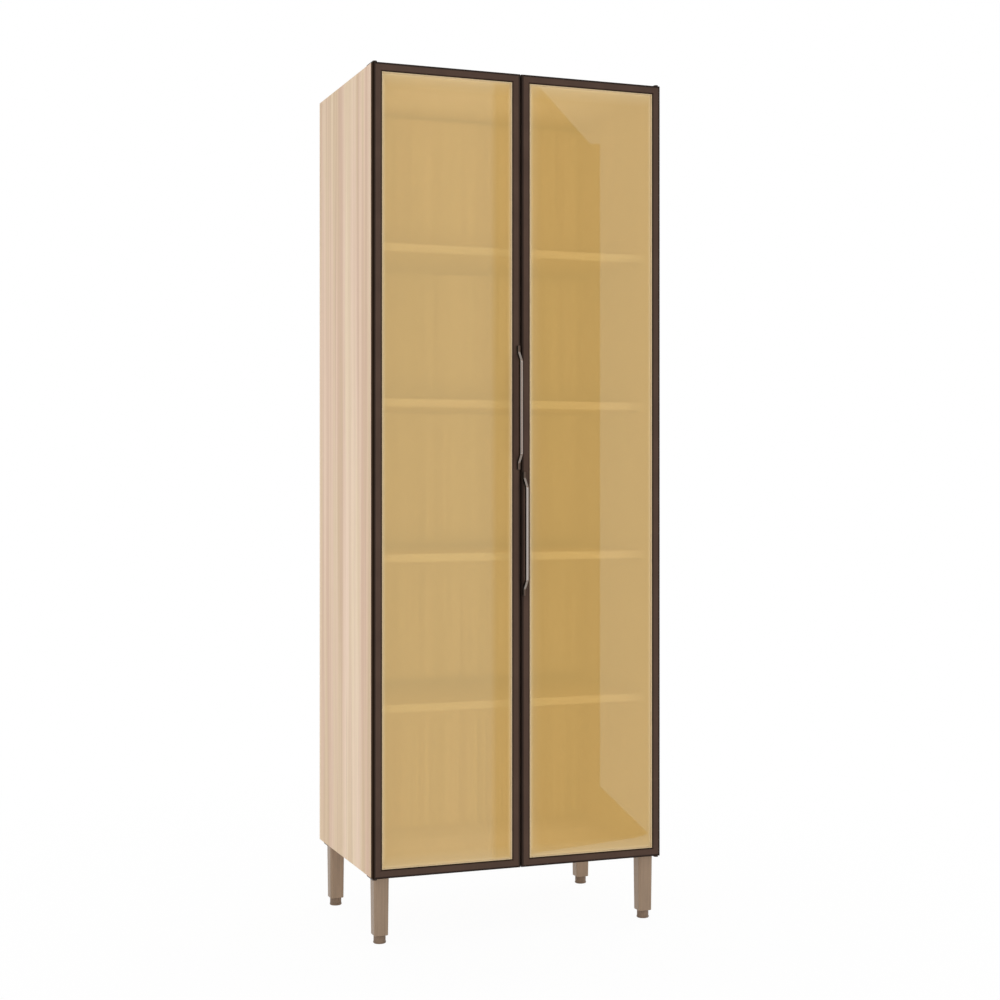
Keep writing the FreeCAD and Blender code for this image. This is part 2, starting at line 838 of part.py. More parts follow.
def hinge_nodes():
    """Top pivot brackets and the pins of both doors."""
    bracket = left_pivot_bracket()
    return {
        "top_left_pivot_bracket": [bracket],
        "top_right_pivot_bracket": [mirrored(bracket)],
        "pivot_pins": both_sides(left_pivot_pins()),
    }


def door_pieces(above_middle):
    """Pieces of a door in the left door's place, with its handle above or below the middle."""
    low = handle_low(above_middle)
    hinge_stile, meeting_stile, top_rail, bottom_rail = framed(frame_section())
    bush_holes = bush_bodies(static_clearance)
    return {
        "hinge_stile": [hinge_stile],
        "meeting_stile": [cut_all(meeting_stile, handle_screw_cutters(low, door_back, door_thickness))],
        "top_rail": [cut_all(top_rail, bush_holes)],
        "bottom_rail": [cut_all(bottom_rail, bush_holes)],
        "corner_cleats": corner_cleats(),
        "pivot_bushes": pivot_bushes(),
        "glass": [glass_pane()],
        "gasket": framed(gasket_section()),
        "handle": [bow_handle(low)],
        "handle_screws": handle_screws(low),
        "strike_plate": [strike_plate()],
        "bumpers": bumpers(),
    }


def door_nodes():
    """Left door with its handle above the middle, right door as its mirror with the handle below."""
    nodes = {"left_door_" + piece: shapes for piece, shapes in door_pieces(True).items()}
    for piece, shapes in door_pieces(False).items():
        nodes["right_door_" + piece] = [mirrored(shape) for shape in shapes]
    return nodes


os.makedirs("parts", exist_ok=True)
for group in (carcass_nodes(), leg_nodes(), hinge_nodes(), door_nodes()):
    for node, shapes in group.items():
        save(node, shapes)
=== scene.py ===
import math

import bmesh
import bpy
import numpy as np
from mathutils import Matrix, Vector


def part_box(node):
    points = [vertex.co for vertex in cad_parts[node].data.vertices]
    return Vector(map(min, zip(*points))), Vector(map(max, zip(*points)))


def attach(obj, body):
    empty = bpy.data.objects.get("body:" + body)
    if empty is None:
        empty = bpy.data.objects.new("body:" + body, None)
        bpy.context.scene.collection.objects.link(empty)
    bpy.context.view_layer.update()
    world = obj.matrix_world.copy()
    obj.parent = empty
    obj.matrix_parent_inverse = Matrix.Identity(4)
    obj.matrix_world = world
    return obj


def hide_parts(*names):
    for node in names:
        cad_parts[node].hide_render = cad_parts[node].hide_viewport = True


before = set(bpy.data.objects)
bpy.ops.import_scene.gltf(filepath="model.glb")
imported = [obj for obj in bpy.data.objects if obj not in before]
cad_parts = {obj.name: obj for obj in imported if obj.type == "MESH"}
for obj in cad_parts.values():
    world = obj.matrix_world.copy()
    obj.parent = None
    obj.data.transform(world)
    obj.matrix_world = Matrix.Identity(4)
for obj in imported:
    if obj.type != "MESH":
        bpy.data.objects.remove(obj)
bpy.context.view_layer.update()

bl_info = {
    "name": "Glass-door bookcase",
    "version": (1, 0, 0),
    "blender": (4, 5, 0),
    "location": "3D View > Sidebar > Bookcase",
    "description": "Finished pieces and a stage for a two-door glass bookcase on four legs",
    "category": "Object",
}

UP = np.array((0.0, 0.0, 1.0))
RIGHTWARDS = np.array((1.0, 0.0, 0.0))
BACKWARDS = np.array((0.0, 1.0, 0.0))
WHITE = (1.0, 1.0, 1.0)
DOORS = ("left_door", "right_door")
LEGS = ("front_left", "front_right", "rear_left", "rear_right")
SHELVES = ("shelf_1", "shelf_2", "shelf_3", "shelf_4")

# Screws of the leg plates, catch and pivot brackets: x, y and z of the head's middle, and +1 where it faces up
PANEL_SCREWS = (
    (-0.2995, -0.182999, 0.1475, -1), (-0.2995, 0.190001, 0.1475, -1),
    (0.2995, -0.182999, 0.1475, -1), (0.2995, 0.190001, 0.1475, -1),
    (-0.0165, -0.190501, 1.939, -1), (0.0165, -0.190501, 1.939, -1),
    (-0.312, -0.190999, 1.962, 1), (-0.312, -0.170999, 1.962, 1),
    (0.312, -0.190999, 1.962, 1), (0.312, -0.170999, 1.962, 1),
)
# Shelf pins: y of their two rows, radius, and reach into the case
PIN_ROWS = (-0.125999, 0.180001)
PIN_RADIUS = 0.0025
PIN_REACH = 0.009

# Corners of the glowing card that paints a reflection in the glass, as seen mirrored there: x and z on the glass
# plane
CARD_ON_GLASS = np.array((
    (-0.072, 0.173), (-0.072, 2.03), (-0.05, 2.03), (0.04, 1.941), (0.173, 1.812), (0.198, 1.814),
    (0.198, 0.323), (0.321, 0.205), (0.308, 0.2005), (0.285, 0.1965),
))
# Colours of the card's glowing strips, painted reflections, by x on the glass plane
CARD_STRIPS = (
    (-0.072, (0.95, 0.92, 0.91)), (-0.057, (0.56, 0.30, 0.17)), (-0.0247, (0.54, 0.26, 0.13)),
    (-0.0207, (0.5, 0.5, 0.5)), (-0.0077, (0.5, 0.5, 0.5)), (-0.0045, WHITE), (0.0213, WHITE),
    (0.0343, (0.71, 0.53, 0.45)), (0.0504, (0.515, 0.223, 0.08)),
)
# The card's place in y
CARD_ROW = -0.6
# Reach of the painted light at the panes' borders, in from their edges
PAINTED_EDGE_LIGHT_REACH = 0.04
# The camera: place, turn, focal length and sensor width in millimetres, and shift
EYE = np.array((-1.4366, -3.9138, 1.0381))
EYE_TURN = math.radians(20.57)
LENS, SENSOR, LENS_SHIFT = 62.56, 36.0, -0.0219
# Share of the light that the satin front of the glass scatters, and the index that sets how far it mirrors
GLASS_VEIL = 0.58
GLASS_INDEX = 1.64
# Soft light from all round, and the lamps: place, target, width and height, power and spread in degrees
AMBIENT = 0.75
LAMPS = {
    "Front lamp": ((-2.6, -5.6, 0.6), (0.0, 0.0, 1.0), (3.0, 1.0), 66.0, 180),
    "Right lamp": ((3.2, -5.0, 0.6), (0.0, 0.0, 1.0), (2.6, 1.0), 46.0, 180),
    "Left lamp": ((-4.6, -0.6, 1.0), (0.0, 0.0, 1.0), (2.6, 1.8), 33.0, 180),
    "Rear lamp": ((3.6, 2.6, 2.0), (0.0, 0.0, 1.0), (2.0, 2.0), 45.0, 180),
    "Upper case lamp": ((0.0, 0.0, 1.6), (0.0, 0.0, 1.9), (0.56, 0.3), 0.17, 60),
    "Lower case lamp": ((0.0, 0.0, 0.48), (0.0, 0.0, 0.2), (0.56, 0.3), 0.13, 60),
    "Top lamp": ((0.0, 0.9, 4.6), (0.0, 0.0, 1.9), (2.0, 2.0), 14.0, 180),
}
FLOOR_HALF = 9.0
# Screws: height of the head, rise of its dome, radius of its seat as a share of the head's, length of the shank
HANDLE_SCREW = (0.0016, 0.0006, 1.0, 0.02)
PANEL_SCREW = (0.00175, 0.0001, 0.5, 0.016)
# Small fixed radii
LIP_RADIUS = 0.0003
HANDLE_END_EASE = 0.0008
STEM_RADIUS = 0.004
STRIKE_EASE = 0.0004
# Painted shadows: start and end of the one below the top panel, and reach of those above the shelves
CEILING_SHADOW = (0.013, 0.006)
SHELF_SHADOW = 0.03
# Rings in the quarter round at each end of a board
EASE_STEPS = 4


def display(red, green, blue):
    """Scene-linear colour of an 8-bit display colour, by the display curve turned round in each channel."""
    share = np.array((red, green, blue)) / 255
    linear = np.where(share <= 0.04045, share / 12.92, ((share + 0.055) / 1.055) ** 2.4)
    return tuple(float(channel) for channel in linear)


def length_property(name, description, default):
    """A length in metres."""
    return bpy.props.FloatProperty(
        name=name, description=description, default=default, min=0.0, precision=5,
        subtype="DISTANCE", unit="LENGTH",
    )


def colour_property(name, description, red, green, blue):
    """A colour given as an 8-bit display colour."""
    return bpy.props.FloatVectorProperty(
        name=name, description=description, default=display(red, green, blue), min=0.0, max=1.0,
        size=3, subtype="COLOR",
    )


class BookcaseSizes(bpy.types.PropertyGroup):
    """Sizes of the finished edges, sections and small turned pieces."""

    board_ease: length_property("Board ease", "Radius of the softened edges of the boards", 0.0008)
    band_thickness: length_property("Edge band", "Thickness of the band on the boards' front edges", 0.0012)
    band_seam: length_property("Band seam", "Half width and depth of the line between board and edge band", 0.0002)
    back_ease: length_property("Back panel ease", "Radius of the edges of the thin back panel", 0.0004)
    pin_collar: length_property("Pin collar", "Extra radius of a shelf pin's collar at the side panel", 0.0005)
    frame_face: length_property("Frame face", "Width of the frame bars seen from the front", 0.02)
    frame_box: length_property("Frame box", "Width of the closed box at the outer edge of a frame bar", 0.012)
    frame_lip: length_property("Frame lip", "Thickness of the lip in front of the glass", 0.0022)
    frame_groove: length_property("Glazing groove", "Width of the groove that takes the gasket", 0.008)
    frame_outer_radius: length_property("Outer radius", "Rounding of the frame's outer front edge", 0.0025)
    frame_inner_radius: length_property("Inner radius", "Rounding of the frame's edge beside the glass", 0.002)
    frame_rear_radius: length_property("Rear radius", "Rounding of the frame's rear edges", 0.0006)
    rear_lip_reach: length_property("Rear lip reach", "Reach of the lip behind the glass", 0.006)
    rear_lip_thickness: length_property("Rear lip", "Thickness of the lip behind the glass", 0.0015)
    gasket_wall: length_property("Gasket wall", "Thickness of the gasket on each side of the glass", 0.002)
    gasket_bead: length_property("Gasket bead", "Reach of the bead that shows beside the frame", 0.0025)
    gasket_bead_front: length_property("Bead depth", "Distance of the bead behind the frame's face", 0.0012)
    glass_ease: length_property("Glass edge", "Radius of the ground edges of the glass", 0.0005)
    handle_width: length_property("Handle width", "Width of the handle strap", 0.008)
    handle_thickness: length_property("Handle thickness", "Thickness of the handle strap", 0.006)
    handle_foot: length_property("Handle foot", "Length of each foot of a handle", 0.016)
    handle_slope: length_property("Handle slope", "Run of the slope between foot and grip", 0.02)
    handle_bend: length_property("Handle bend", "Radius of the bends of a handle", 0.009)
    handle_crown: length_property("Handle crown", "Rounding of the front edges of a handle", 0.0026)
    leg_corner: length_property("Leg corner", "Radius of the legs' upright corners", 0.006)
    leg_rim: length_property("Leg rim", "Rounding of a leg's lower and upper rim", 0.001)
    leg_bottom: length_property("Leg bottom width", "Width of a leg at its lower end", 0.033)
    foot_height: length_property("Foot height", "Height of a levelling foot below the leg", 0.0186)
    foot_radius: length_property("Foot radius", "Radius of a levelling foot above its pad", 0.0136)
    foot_pad_height: length_property("Pad height", "Height of the wider pad of a foot", 0.004)
    thread_pitch: length_property("Thread pitch", "Rise of the foot's screw thread in one turn", 0.00125)
    thread_depth: length_property("Thread depth", "Depth of the foot's screw thread", 0.0004)
    screw_head: length_property("Screw head", "Radius of the screw heads", 0.0035)
    screw_recess: length_property("Screw recess", "Depth of the cross recess in a screw head", 0.0012)


class BookcaseColours(bpy.types.PropertyGroup):
    """Colours of the finishes."""

    laminate: colour_property("Laminate", "Main tone of the wood laminate", 219, 194, 168)
    laminate_light: colour_property("Laminate light", "Pale streaks of the wood laminate", 234, 212, 188)
    laminate_rose: colour_property("Laminate rose", "Pinkish streaks of the wood laminate", 220, 189, 170)
    laminate_sand: colour_property("Laminate sand", "Yellowish streaks of the wood laminate", 215, 194, 158)
    laminate_dark: colour_property("Laminate dark", "Dark streaks of the wood laminate", 197, 167, 139)
    frame_face: colour_property("Frame face", "Brown paint on the face of the door frames", 74, 57, 48)
    # The frames' sides are the same paint, darkened here as painted shade; towards the back it drifts to the rear
    # brown
    frame_edge: colour_property("Frame edge", "Dark paint on the sides of the door frames", 33, 23, 16)
    frame_rear: colour_property("Frame rear", "Brown paint towards the rear of the frames' sides", 92, 74, 62)
    glass: colour_property("Glass", "Amber tint of one surface of the glass", 249, 244, 224)
    glass_veil: colour_property("Glass veil", "Light scattered by the satin front of the glass", 224, 187, 113)
    # Painted light: the glass's veil turns to this paler colour towards the panes' edges
    glass_border: colour_property("Glass border", "Paler light near the edges of the glass", 254, 228, 172)
    gasket: colour_property("Gasket", "Soft gasket round the glass", 200, 177, 138)
    # The handles' colours are lit and shaded copies of one metal: the polished front gives a painted highlight
    # line, and the dark sides and the dimmer slopes and feet are painted shade
    handle_front: colour_property("Handle front", "Polished front of the grips", 190, 184, 178)
    handle_side: colour_property("Handle side", "Dark bronze sides of the handles", 44, 36, 30)
    # Painted shade: the slopes' and feet's fronts are dimmer copies of the grip's polished metal
    handle_slope: colour_property("Handle slope", "Brushed front of the handles' slopes", 150, 142, 135)
    handle_foot: colour_property("Handle foot", "Bronze front of the handles' feet", 108, 98, 90)
    leg: colour_property("Leg", "Champagne brown finish of the legs", 144, 123, 103)
    foot: colour_property("Foot", "Brown levelling feet", 119, 99, 81)
    steel: colour_property("Steel", "Zinc-plated pins, studs and screws", 176, 174, 170)
    plate: colour_property("Plate", "Brown paint on the leg plates and pivot brackets", 60, 47, 40)
    nylon: colour_property("Nylon", "Pivot bushes", 66, 62, 58)
    cleat: colour_property("Cleat", "Cast corner cleats", 150, 150, 152)
    dowel: colour_property("Dowel", "Beech dowels", 205, 172, 128)
    catch: colour_property("Catch", "Moulded housing of the catch", 120, 104, 90)
    magnet: colour_property("Magnet", "Ferrite magnets", 58, 57, 58)
    bumper: colour_property("Bumper", "Clear soft bumpers", 214, 212, 206)
    floor: colour_property("Floor", "Plain pale floor", 246, 246, 246)


# Surfaces


def grid_quads(rows, columns):
    """Quads between neighbouring rows of a grid numbered row by row, its last column joined to the first."""
    numbers = np.arange(rows * columns).reshape(rows, columns)
    numbers = np.hstack((numbers, numbers[:, :1]))
    corners = (numbers[:-1, :-1], numbers[:-1, 1:], numbers[1:, 1:], numbers[1:, :-1])
    return np.stack(corners, axis=-1).reshape(-1, 4)


def skin(rings, slots=0, capped=True):
    """Skin over rings of points (rows x columns x 3): quads between rings and, if capped, two end faces.

    slots gives each quad's finish, as one number or an array that spreads over rows - 1 by columns."""
    rows, columns = rings.shape[:2]
    quad_slots = np.broadcast_to(slots, (rows - 1, columns))
    caps = []
    if capped:
        caps = [np.arange(columns), np.arange(columns) + (rows - 1) * columns]
    cap_slots = [quad_slots[0, 0], quad_slots[-1, 0]] if capped else []
    return rings.reshape(-1, 3), grid_quads(rows, columns), caps, np.append(quad_slots.reshape(-1), cap_slots)


def middle(low, high):
    """The middle of a box."""
    return np.add(low, high) / 2


def unit(rows):
    """Directions of length 1."""
    return rows / np.linalg.norm(rows, axis=-1, keepdims=True)


def rounded_outline(corners, steps):
    """Closed outline through corners (u, v, radius), each radius above zero drawn as an arc of steps points.

    An arc's centre lies on the corner's bisector at radius / sin(half angle). Its points turn evenly from one
    side's tangent point to the other's. From its first to its last corner the outline is also an open path."""
    corners = np.array(corners, float)
    points, radii = corners[:, :2], corners[:, 2]
    filled = np.repeat(points[:, None, :], steps, axis=1)
    rounded = np.flatnonzero(radii > 0)
    here, radius = points[rounded], radii[rounded][:, None]
    back = unit(np.roll(points, 1, axis=0)[rounded] - here)
    ahead = unit(np.roll(points, -1, axis=0)[rounded] - here)
    half = np.arccos(np.clip((back * ahead).sum(axis=1), -1, 1))[:, None] / 2
    centres = here + unit(back + ahead) * radius / np.sin(half)
    reach = radius / np.tan(half)
    starts, ends = here + back * reach - centres, here + ahead * reach - centres
    sweep = math.pi - 2 * half
    share = np.linspace(0, 1, steps)[None, :]
    start_weight = np.sin((1 - share) * sweep) / np.sin(sweep)
    end_weight = np.sin(share * sweep) / np.sin(sweep)
    arcs = start_weight[..., None] * starts[:, None, :] + end_weight[..., None] * ends[:, None, :]
    filled[rounded] = centres[:, None, :] + arcs
    keep = (radii > 0)[:, None] | (np.arange(steps) == 0)[None, :]
    return filled[keep]


def eased_stations(length, ease, seam=None, seam_depth=0.0, steps=EASE_STEPS):
    """Distance and inset of the rings along a board: quarter rounds at both ends and a V-shaped seam between.

    At the turn t of a quarter round the distance is ease (1 - cos t) and the inset is ease (1 - sin t)."""
    turn = np.linspace(0, math.pi / 2, steps)
    start = np.column_stack((ease * (1 - np.cos(turn)), ease * (1 - np.sin(turn))))
    end = np.column_stack((length - start[::-1, 0], start[::-1, 1]))
    if seam is None:
        return np.vstack((start, end))
    middle = np.array(((seam - seam_depth, 0), (seam, seam_depth), (seam + seam_depth, 0)))
    return np.vstack((start, middle, end))


def corner_turns(steps):
    """Angles of the points round a section's four rounded corners, and each point's side in both directions."""
    quarter = np.repeat(np.arange(4), steps)
    angle = quarter * math.pi / 2 + np.tile(np.linspace(0, math.pi / 2, steps), 4)
    return angle, np.where((quarter == 0) | (quarter == 3), 1, -1), np.where(quarter < 2, 1, -1)


def eased_block(low, high, ease, stations):
    """Rings of a rounded rectangle in x and z carried from the front to the back of a box.

    Ring k stands at its distance from the front. A corner's points are the corner's centre plus (ease - inset)
    times the cosine and sine of the angle there."""
    angle, *signs = corner_turns(EASE_STEPS)
    distance, inset = stations[:, 0, None], stations[:, 1, None]
    rings = np.empty((len(stations), len(angle), 3))
    rings[..., 1] = low[1] + distance
    for axis, sign, wave in zip((0, 2), signs, (np.cos(angle), np.sin(angle))):
        centre = middle(low, high)[axis] + sign * ((high[axis] - low[axis]) / 2 - ease)
        rings[..., axis] = centre + (ease - inset) * wave
    return rings


def eased_panel(node, ease, slots=0):
    """Plain panel with eased edges in a node's box."""
    low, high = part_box(node)
    return skin(eased_block(low, high, ease, eased_stations(high[1] - low[1], ease)), slots)


def banded_board(node, sizes):
    """Board with eased edges whose front carries an edge band, set off by a fine seam all round."""
    low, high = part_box(node)
    stations = eased_stations(high[1] - low[1], sizes.board_ease, sizes.band_thickness, sizes.band_seam)
    in_band = (stations[:-1, 0] < sizes.band_thickness).astype(int)
    return skin(eased_block(low, high, sizes.board_ease, stations), in_band[:, None])


def turned(radii, heights, foot, axis, sides):
    """Rings about an axis: point (k, m) is heights[k] along it and radii[k, m] out from it, at 2 pi m / sides."""
    axis = np.array(axis, float)
    first = np.roll(axis, 1)
    second = np.cross(axis, first)
    angle = np.arange(sides) * (2 * math.pi / sides)
    outward = np.cos(angle)[:, None] * first + np.sin(angle)[:, None] * second
    heights = np.array(heights, float)[:, None, None]
    return np.array(foot, float) + heights * axis + radii[..., None] * outward


def turned_profile(profile, foot, axis, sides):
    """Skin turned from a profile of (radius, height) rows; a row of radius zero closes the end."""
    profile = np.array(profile, float)
    radii = np.repeat(profile[:, :1], sides, axis=1)
    return skin(turned(radii, profile[:, 1], foot, axis, sides), capped=False)


def recessed_screw(head, axis, sizes, kind):
    """Screw of a kind with a cross recess, its head's rim at the point head and its top facing along axis.

    The recess outline is the polar curve of a plus: arm / cos a within an arm, half width / sin a between the
    arms, with a folded to 45 degrees. Each row of points is a share of that curve plus a circle."""
    sides = 64
    head_height, dome, seat, shank = kind
    radius, recess = sizes.screw_head, sizes.screw_recess
    arm, half_width = 0.6 * radius, 0.14 * radius
    angle = np.arange(sides) * (2 * math.pi / sides)
    folded = np.abs((angle + math.pi / 4) % (math.pi / 2) - math.pi / 4)
    plus = np.minimum(arm / np.cos(folded), half_width / np.maximum(np.sin(folded), 1e-6))
    rows = np.array((
        (0.0, 0.0, dome - recess), (0.7, 0.0, dome - recess), (1.0, 0.0, dome), (1.05, 0.02 * radius, dome),
        (0.0, 0.8 * radius, 0.7 * dome), (0.0, 0.95 * radius, 0.2 * dome), (0.0, radius, -0.1 * dome),
        (0.0, seat * radius, -head_height), (0.0, 0.5 * radius, -head_height), (0.0, 0.45 * radius, -shank),
        (0.0, 0.0, -shank),
    ))
    radii = rows[:, :1] * plus + rows[:, 1:2]
    return skin(turned(radii, rows[:, 2], head, axis, sides), capped=False)


def frame_section(sizes, depth):
    """Outline of a frame bar: u from the door's edge, v from its face; lip, glazing groove, rear lip and box."""
    groove_rear = sizes.frame_lip + sizes.frame_groove
    rear_back = groove_rear + sizes.rear_lip_thickness
    rear_edge = sizes.frame_box + sizes.rear_lip_reach
    return rounded_outline((
        (0, 0, sizes.frame_outer_radius),
        (sizes.frame_face, 0, sizes.frame_inner_radius),
        (sizes.frame_face, sizes.frame_lip, 0),
        (sizes.frame_box, sizes.frame_lip, 0),
        (sizes.frame_box, groove_rear, 0),
        (rear_edge, groove_rear, LIP_RADIUS),
        (rear_edge, rear_back, LIP_RADIUS),
        (sizes.frame_box, rear_back, 0.0005),
        (sizes.frame_box, depth, sizes.frame_rear_radius),
        (0, depth, sizes.frame_rear_radius),
    ), 7)


def gasket_section(sizes):
    """Outline of the gasket: a U round the glass edge with a rounded bead beside the frame's lip."""
    fit = 0.00005
    bed = sizes.frame_box + fit
    front = sizes.frame_lip + fit
    rear = sizes.frame_lip + sizes.frame_groove - fit
    bead_start = sizes.frame_face + fit
    bead_edge = sizes.frame_face + sizes.gasket_bead
    glass_near = sizes.frame_lip + sizes.gasket_wall - fit
    glass_far = sizes.frame_lip + sizes.frame_groove - sizes.gasket_wall + fit
    rear_edge = sizes.frame_box + sizes.rear_lip_reach
    return rounded_outline((
        (bed, front, 0),
        (bead_start, front, 0),
        (bead_start, sizes.gasket_bead_front, 0.0004),
        (bead_edge, sizes.gasket_bead_front, 0.0011),
        (bead_edge, glass_near, LIP_RADIUS),
        (bed + sizes.gasket_wall, glass_near, 0),
        (bed + sizes.gasket_wall, glass_far, 0),
        (rear_edge, glass_far, LIP_RADIUS),
        (rear_edge, rear, LIP_RADIUS),
        (bed, rear, 0),
    ), 6)


def mitred_bar(section, corner, across, along, length):
    """Section carried along a bar: u across from the door's edge, v towards the back.

    Each end is cut at 45 degrees: a point starts at u along the bar and ends at length - u."""
    u, v = section.T
    flat = np.array(corner, float) + np.outer(u, across) + np.outer(v, BACKWARDS)
    return np.stack((flat + np.outer(u, along), flat + np.outer(length - u, along)))


def mitred_loop(section, low, high):
    """Section carried round a rectangle in x and z, its corners mitred: u inwards from the edge, v backwards."""
    u, v = section.T
    left, right = low[0] + u, high[0] - u
    bottom, top = low[2] + u, high[2] - u
    corners = ((left, bottom), (right, bottom), (right, top), (left, top), (left, bottom))
    return np.stack([np.column_stack((x, low[1] + v, z)) for x, z in corners])


def bow_path(sizes, foot_row, grip_row, low, high):
    """Centre line of a bow handle in y and z: foot, slope, grip, slope and foot with rounded bends."""
    bend = sizes.handle_bend
    lower, upper = low + sizes.handle_foot, high - sizes.handle_foot
    return rounded_outline((
        (foot_row, low, 0),
        (foot_row, lower, bend),
        (grip_row, lower + sizes.handle_slope, bend),
        (grip_row, upper - sizes.handle_slope, bend),
        (foot_row, upper, bend),
        (foot_row, high, 0),
    ), 9)


def swept_strap(path, section, column, end_ease):
    """Section (width, depth) carried square along a path in y and z, its ends drawn in by a quarter round."""
    turn = np.linspace(0, math.pi / 2, 4)[:-1]
    gaps = end_ease * (1 - np.cos(turn))
    first, last = unit(path[1] - path[0]), unit(path[-1] - path[-2])
    line = np.vstack((
        path[0] + gaps[:, None] * first,
        path[0] + end_ease * first,
        path[1:-1],
        path[-1] - end_ease * last,
        path[-1] - gaps[::-1, None] * last,
    ))
    drawn_in = end_ease * (1 - np.sin(turn)) / np.abs(section[:, 1]).max()
    scale = np.concatenate((1 - drawn_in, np.ones(len(path)), 1 - drawn_in[::-1]))
    slope = np.gradient(line, axis=0)
    slope[: len(gaps)], slope[-len(gaps):] = first, last
    slope = unit(slope)
    across, depth = section[None, :, 0] * scale[:, None], section[None, :, 1] * scale[:, None]
    rings = np.empty((len(line), len(section), 3))
    rings[..., 0] = column + across
    rings[..., 1] = line[:, :1] + depth * slope[:, 1:]
    rings[..., 2] = line[:, 1:] - depth * slope[:, :1]
    return rings


def tapered_leg(low, high, sizes):
    """Rings of a rounded square up a leg: its half width grows evenly upwards, less the rims' rounding."""
    rim_steps, corner_steps = 5, 8
    centre, height = middle(low, high), high[2] - low[2]
    top_half, bottom_half = (high[0] - low[0]) / 2, sizes.leg_bottom / 2
    rims = eased_stations(height, sizes.leg_rim, steps=rim_steps)
    levels = np.linspace(0.12, 0.88, 5)[:, None] * (height, 0)
    stations = np.vstack((rims[:rim_steps], levels, rims[rim_steps:]))
    half = bottom_half + (top_half - bottom_half) * stations[:, :1] / height - stations[:, 1:]
    corner = sizes.leg_corner - stations[:, 1:]
    angle, sign_x, sign_y = corner_turns(corner_steps)
    rings = np.empty((len(stations), len(angle), 3))
    rings[..., 0] = centre[0] + sign_x * (half - corner) + corner * np.cos(angle)
    rings[..., 1] = centre[1] + sign_y * (half - corner) + corner * np.sin(angle)
    rings[..., 2] = low[2] + stations[:, :1]
    return rings


def threaded_stem(centre, low, high, sizes):
    """Screw thread: its depth is cut as a triangle wave of height / pitch minus angle / (2 pi)."""
    sides, rows_in_pitch = 20, 8
    heights = np.linspace(low, high, int((high - low) / sizes.thread_pitch * rows_in_pitch))
    turn = heights[:, None] / sizes.thread_pitch - np.arange(sides)[None, :] / sides
    radii = STEM_RADIUS - sizes.thread_depth * np.abs(2 * (turn % 1) - 1)
    return skin(turned(radii, heights, (*centre, 0), UP, sides), 1)


def add_piece(node, body, surfaces, finishes, sharp=35, flat_faces=True):
    """The finished piece of a node, one object from several skins, with its finishes by name.

    Doubles are merged, faces turned outwards, and all is smooth but for edges sharper than sharp, in degrees."""
    name = "finished_" + node
    starts = np.cumsum([0] + [len(points) for points, _, _, _ in surfaces])
    faces, slots = [], []
    for start, (_, quads, caps, quad_slots) in zip(starts, surfaces):
        faces += (quads + start).tolist() + [(cap + start).tolist() for cap in caps]
        slots.append(quad_slots)
    mesh = bpy.data.meshes.new(name)
    mesh.from_pydata(np.vstack([points for points, _, _, _ in surfaces]), [], faces)
    mesh.polygons.foreach_set("material_index", np.concatenate(slots).astype(np.int32))
    shell = bmesh.new()
    shell.from_mesh(mesh)
    bmesh.ops.remove_doubles(shell, verts=shell.verts, dist=2e-6)
    bmesh.ops.dissolve_degenerate(shell, edges=shell.edges, dist=1e-7)
    bmesh.ops.recalc_face_normals(shell, faces=shell.faces)
    shell.to_mesh(mesh)
    shell.free()
    mesh.polygons.foreach_set("use_smooth", np.ones(len(mesh.polygons), bool))
    mesh.set_sharp_from_angle(angle=math.radians(sharp))
    for finish in finishes:
        mesh.materials.append(finish_of(finish))
    piece = bpy.data.objects.new(name, mesh)
    bpy.context.scene.collection.objects.link(piece)
    if flat_faces:
        normals = piece.modifiers.new("Face normals", "WEIGHTED_NORMAL")
        normals.keep_sharp = True
    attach(piece, body)
    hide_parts(node)


# Finishes


def shaded(colour, share):
    """A share of a colour."""
    return tuple(share * channel for channel in colour)


